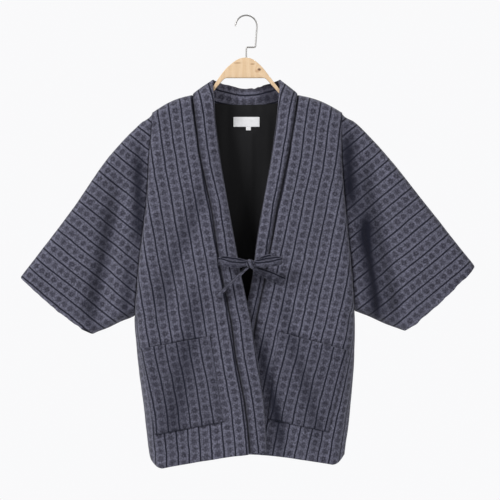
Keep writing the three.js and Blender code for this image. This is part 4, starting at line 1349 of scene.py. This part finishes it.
# A woven plate sewn on the lining, round its edge.
def makePlate(name, node, middle, top, size, thick, rim):
    left, right, low = middle - size[0] / 2, middle + size[0] / 2, top + size[1]
    cell = liningSettings["cell"]
    a = np.linspace(left, right, int(size[0] / cell) + 2)[None, :]
    b = np.linspace(top, low, int(size[1] / cell) + 2)[:, None]
    out, down = np.broadcast_arrays(a, b)
    points = backPlace(rightSide, *backFind(rightSide, out, down), 1.0)
    points[..., 0] = out
    normals = normalsOf(points, False, -1)
    lift = cloth["wall"] + liningSettings["behind"] + cloth["liningWall"] + 0.7
    lift = (lift + liningLift(out, down) * 0.75)[..., None]
    edge = np.minimum(np.minimum(out - left, right - out), np.minimum(down - top, low - down))
    groove = (rim * bell(edge - 1.4, 0.5))[..., None]
    outer, inner = points - normals * (lift + thick - groove), points - normals * lift
    uv = np.stack([out, down], axis=-1)
    return place(addWall(name, outer, inner, uv, plainLips, [labelCloth]), node, "label")


backLining = makeLining()
labelHigh = liningSettings["label"][0][1]
labelTop = liningSettings["labelDown"] - labelHigh / 2
tabOut, tabTop = liningSettings["tabOut"], labelTop + labelHigh + cloth["gap"]
label = makePlate("woven_label", "label", 0, labelTop, *liningSettings["label"])
sizeTab = makePlate("plain_tab", "size_tab", tabOut, tabTop, *liningSettings["tab"])
print("lining and label made")


# Ties

# out, y, down, width, lean and twist of each strap's middle line, from its root or from the knot
tieRoutes = {
    "tie_right": [
        (-57, -44.8, 503, 16, 0, 0), (-48, -45.9, 503, 16, 0, 0), (-36, -46, 504, 16, 0, 0),
        (-16, -49, 506, 15, 0, 0), (3, -54.5, 508, 12, 0, 0),
    ],
    "tie_left": [
        (50, -33.9, 496, 16, 0, 0), (40, -34.6, 498, 16, 0, 0), (32, -35.2, 501, 16, 0, 0),
        (22, -43, 505, 14, 0, 0), (14, -54.5, 508, 12, 0, 0),
    ],
    "tie_loop_right": [
        (4, -60.5, 506, 10, 0, 0), (-6, -63, 508, 12, 0, 8), (-18, -67, 509.5, 14, -2, 12),
        (-34, -69, 507.5, 14, -4, 10), (-46, -69, 504, 14, -6, 4), (-52, -66, 502, 15, -8, 0),
        (-47, -62.6, 500, 16, -8, -6), (-33, -61.6, 501.5, 16, -6, -8),
        (-14, -61.2, 504, 14, 0, 0), (4, -59, 507, 10, 0, 0),
    ],
    "tie_loop_left": [
        (12, -60.5, 506, 10, 0, 0), (22, -63, 508.5, 12, 0, -8), (34, -66.5, 509, 14, 2, -12),
        (50, -67.5, 507, 14, 4, -10), (64, -67, 504, 14, 6, -4), (71, -63.4, 501.5, 14, 8, 0),
        (64, -60, 500, 15, 8, 6), (46, -60, 502, 15, 6, 8), (28, -60.5, 505, 14, 0, 0),
        (12, -59, 508, 10, 0, 0),
    ],
    "tie_tail_right": [
        (4, -58, 511, 9, -30, 20), (-5, -59, 521, 11, -34, 48), (-24, -58.5, 540, 13, -42, 58),
        (-42, -57, 557, 13, -48, 58), (-61, -55, 575, 12, -52, 50),
    ],
    "tie_tail_left": [
        (13, -57.6, 512, 11, 24, 0), (24, -52, 521, 15, 26, 0), (42, -41, 529, 18, 26, 0),
        (60, -34.8, 537, 18, 25, 0), (76, -32.4, 544, 18, 25, 0),
    ],
}
tieSettings = {
    "rings": 60, "around": 28, "thick": 2.4,
    "line": 2.6,  # from a strap's edge to a dark line
    "stitch": 0.72,  # the stitched line, as a share of half the width
}
knot = {"out": 8.6, "y": -61.5, "down": 508, "width": 19, "depth": 15, "height": 19}


def makeStrap(name, route, seed):
    s = tieSettings
    rows = [(k, *row) for k, row in enumerate(route)]
    t = np.linspace(0, len(route) - 1, s["rings"] + 1)
    out, y, down, width, lean, twist = (curve(rows, column)(t) for column in range(1, 7))
    middle = stack(out, y, -down)
    run = lengthAlong(middle)
    along = unit(np.gradient(middle, axis=0))
    angle = np.radians(lean + 3 * ripple(seed, run, 0 * run, 22, 30))
    wide = squareOff(stack(np.sin(angle), 0 * angle, np.cos(angle)), along)
    thin = np.cross(along, wide)
    # a twisted strap turns its flat side up, its lower edge away from the cloth behind it
    turned = np.radians(twist)[:, None] * np.sign(thin[:, 1:2])
    wide = wide * np.cos(turned) + thin * np.sin(turned)
    thin = np.cross(along, wide)
    run, half = run[:, None], width[:, None] / 2
    turn = np.linspace(0, 2 * np.pi, s["around"] + 1)[:-1]
    across, face = -np.sign(np.cos(turn)) * np.abs(np.cos(turn)) ** 0.8, np.sign(np.sin(turn))
    puff = s["thick"] / 2 * (0.75 + 0.35 * (1 - across**4)) * np.abs(np.sin(turn)) ** 0.6
    fromStitch = np.abs(across) - s["stitch"]
    wave = 0.21 * ripple(seed + 1, run, across * 8, 9, 7) * np.cos(np.pi * across / 2)
    depth = face * (puff - 0.45 * bell(fromStitch, 0.1)) + wave
    rings = middle[:, None] + wide[:, None] * (half * across)[..., None]
    rings = rings + thin[:, None] * depth[..., None]
    uv = np.stack([half * (1 - across) - s["line"], run + 0 * depth], axis=-1)
    # painted shade over the strap's faces, lighter towards its rims, and in its stitched line,
    # uneven along it
    paintedShade = 0.38 * (1 - np.abs(across) ** 6) + 0.3 * bell(fromStitch, 0.12)
    paintedShade = paintedShade * (1 + 0.5 * ripple(seed + 2, run, across * 8, 7, 9))
    return place(addTube(name + "_strap", rings, uv, paintedShade), name, "striped_cotton")


# The knot: a rounded lump, drawn in by the creases where one strap crosses the other.
def makeKnot():
    latitude = np.linspace(0.02, np.pi - 0.02, 33)[:, None]
    longitude = np.linspace(0, 2 * np.pi, 49)[:-1]
    x, y = np.sin(latitude) * np.cos(longitude), np.sin(latitude) * np.sin(longitude)
    z = np.cos(latitude) + 0 * longitude
    band = x * 0.92 + z * 0.38  # across the strap that lies over the other
    crease = bell(band - 0.42, 0.1) + bell(band + 0.46, 0.1)
    size = 1 + 0.08 * np.cos(band * 4) - 0.13 * crease + 0.05 * ripple(99, x * 9, z * 9, 3.2, 3.2)
    halves = np.array([knot["width"], knot["depth"], knot["height"]]) / 2
    middle = np.array([knot["out"], knot["y"], -knot["down"]])
    rings = middle + stack(x, y, z) * halves * size[..., None]
    uv = np.stack([band * 10 + 6, (z * 0.92 - x * 0.38) * 10], axis=-1)
    # painted shade over the whole knot, darker in its creases
    piece = addTube("tie_knot_cloth", rings, uv, 0.25 + 0.65 * crease)
    place(piece, "tie_knot", "striped_cotton")


for k, (name, route) in enumerate(tieRoutes.items()):
    makeStrap(name, route, 200 + 7 * k)
makeKnot()
print("ties made")


# Hanger

# out and down of the board's upper edge, then of its lower edge, from the middle to the tip
boardSettings = {
    "thick": 12,
    "edge": 1.7,
    "middle": ((-1, 85), (-3, 127)),
    "left": [
        ((11, 87), (10, 127)), ((21, 94), (23, 127)), ((31, 103.5), (36, 126.8)),
        ((35, 108), (39.5, 127.6)), ((42, 117), (45, 134)), ((52, 130), (54, 144)),
        ((61, 142), (63, 154)), ((71, 153.5), (71, 163)), ((84, 165.5), (82, 175.5)),
        ((97, 173.5), (94, 181.5)), ((109, 176), (105, 185.5)), ((121, 176), (119, 188.5)),
        ((136, 179), (134, 192)), ((151, 184.5), (147, 197.5)), ((169, 193.5), (161, 203.5)),
        ((183, 202.5), (173, 212)), ((190, 209), (181, 217.5)), ((191.5, 213), (186, 219)),
    ],
    "right": [
        ((-12, 86), (-13, 127)), ((-22, 91), (-28, 127)), ((-31, 98), (-41, 126.8)),
        ((-34, 101), (-45.5, 127.6)), ((-40, 105), (-53, 136)), ((-51, 119), (-61, 146)),
        ((-60, 131), (-68, 154)), ((-69, 147), (-76, 164)), ((-84, 164.5), (-86, 175)),
        ((-97, 171.5), (-95, 181)), ((-109, 174.5), (-106, 184.5)), ((-121, 174.5), (-120, 187.5)),
        ((-136, 177.5), (-134, 190.5)), ((-151, 183.5), (-147, 196.5)),
        ((-169, 193), (-161, 202.5)), ((-183, 202.5), (-173, 212)),
        ((-190, 209), (-181, 217.5)), ((-191.5, 213), (-186, 219)),
    ],
}


def inPlane(point):
    return Vector((point[0] / metre, 0, -point[1] / metre))


def selectNear(mesh, places):
    bpy.ops.mesh.select_all(action="DESELECT")
    shape = bmesh.from_edit_mesh(mesh)
    for vertex in shape.verts:
        vertex.select_set(any((vertex.co - Vector(place)).length < 1e-5 for place in places))
    shape.select_flush(True)
    bmesh.update_edit_mesh(mesh)


def moveCorner(mesh, start, end):
    selectNear(mesh, [start])
    bpy.ops.transform.translate(value=end - start)


def finishHard(piece, name, node, slotName, material):
    piece.name = name
    piece.data.name = name
    piece.data.materials.append(material)
    bpy.ops.object.transform_apply(location=True, rotation=True, scale=True)
    bpy.ops.object.shade_smooth_by_angle(angle=math.radians(40))
    place(piece, node, slotName)


# The board: one edge drawn across its middle, pulled out to each tip, thickened and sanded.
def makeBoard():
    deselectAll()
    bpy.ops.mesh.primitive_plane_add(size=0.001, rotation=(math.pi / 2, 0, 0))
    board = bpy.context.object
    bpy.ops.object.transform_apply(location=True, rotation=True, scale=True)
    bpy.ops.object.mode_set(mode="EDIT")
    bpy.ops.mesh.delete(type="ONLY_FACE")
    shape = bmesh.from_edit_mesh(board.data)
    corners = sorted((vertex.co.copy() for vertex in shape.verts), key=lambda c: (c.x, -c.z))
    selectNear(board.data, corners[2:])
    bpy.ops.mesh.delete(type="VERT")
    upper, lower = (inPlane(point) for point in boardSettings["middle"])
    for corner, target in zip(corners[:2], (upper, lower)):
        moveCorner(board.data, corner, target)
    for arm in ("left", "right"):
        top, bottom = upper, lower
        for nextTop, nextBottom in boardSettings[arm]:
            nextTop, nextBottom = inPlane(nextTop), inPlane(nextBottom)
            selectNear(board.data, [top, bottom])
            bpy.ops.mesh.extrude_edges_move(TRANSFORM_OT_translate={"value": nextTop - top})
            moveCorner(board.data, bottom + nextTop - top, nextBottom)
            top, bottom = nextTop, nextBottom
    bpy.ops.mesh.select_all(action="SELECT")
    bpy.ops.mesh.normals_make_consistent(inside=False)
    bpy.ops.object.mode_set(mode="OBJECT")
    smoothing = board.modifiers.new("smooth outline", "SUBSURF")
    smoothing.levels = smoothing.render_levels = 2
    thicken = board.modifiers.new("board", "SOLIDIFY")
    thicken.thickness = boardSettings["thick"] / metre
    thicken.offset = 0
    bevel = board.modifiers.new("sanded edge", "BEVEL")
    bevel.width = boardSettings["edge"] / metre
    bevel.segments = 3
    bevel.limit_method = "ANGLE"
    bevel.angle_limit = math.radians(50)
    for modifier in (smoothing, thicken, bevel):
        bpy.ops.object.modifier_apply(modifier=modifier.name)
    finishHard(board, "hanger_board", "hanger_body", "wood", wood)


hookSettings = {
    "wire": 3.2,
    "stemOut": -0.5,
    "foot": 92,  # how far down the wire ends, inside the board
    "bendDown": 64,
    "bend": 3.2,
    "sideOut": 21.5,
    "radius": 22,
    "lean": 3,
    "sweep": 181,
}


# The wire, bent as on a former: straight, out to the side, up, and over in one arc.
def makeHook():
    s = hookSettings
    thin = s["wire"] / 2
    arcDown = s["radius"] - thin
    sideOut = s["sideOut"] - s["lean"]
    deselectAll()
    foot = inPlane((s["stemOut"], s["foot"]))
    bpy.ops.mesh.primitive_circle_add(
        vertices=24, radius=thin / metre, fill_type="NGON", location=foot
    )
    hook = bpy.context.object
    bpy.ops.object.transform_apply(location=True, rotation=True, scale=True)
    bpy.ops.object.mode_set(mode="EDIT")
    bpy.ops.mesh.select_all(action="SELECT")

    def pull(out, down):
        bpy.ops.mesh.extrude_region_move(TRANSFORM_OT_translate={"value": inPlane((out, down))})

    def bend(out, down, degrees, steps):
        bpy.ops.mesh.spin(
            steps=steps, angle=math.radians(degrees), center=inPlane((out, down)), axis=(0, 1, 0)
        )

    pull(0, s["bendDown"] + s["bend"] - s["foot"])
    bend(s["stemOut"] + s["bend"], s["bendDown"] + s["bend"], -90, 8)
    pull(sideOut - s["stemOut"] - 2 * s["bend"], 0)
    bend(sideOut - s["bend"], s["bendDown"] - s["bend"], 90, 8)
    pull(s["lean"], arcDown - (s["bendDown"] - s["bend"]))
    bend(s["sideOut"] - s["radius"], arcDown, s["sweep"], 56)
    bpy.ops.mesh.select_all(action="SELECT")
    bpy.ops.mesh.remove_doubles(threshold=0.00001)
    bpy.ops.mesh.normals_make_consistent(inside=False)
    bpy.ops.object.mode_set(mode="OBJECT")
    finishHard(hook, "hanger_wire", "hanger_hook", "wire", steel)


makeBoard()
makeHook()
print("hanger made")
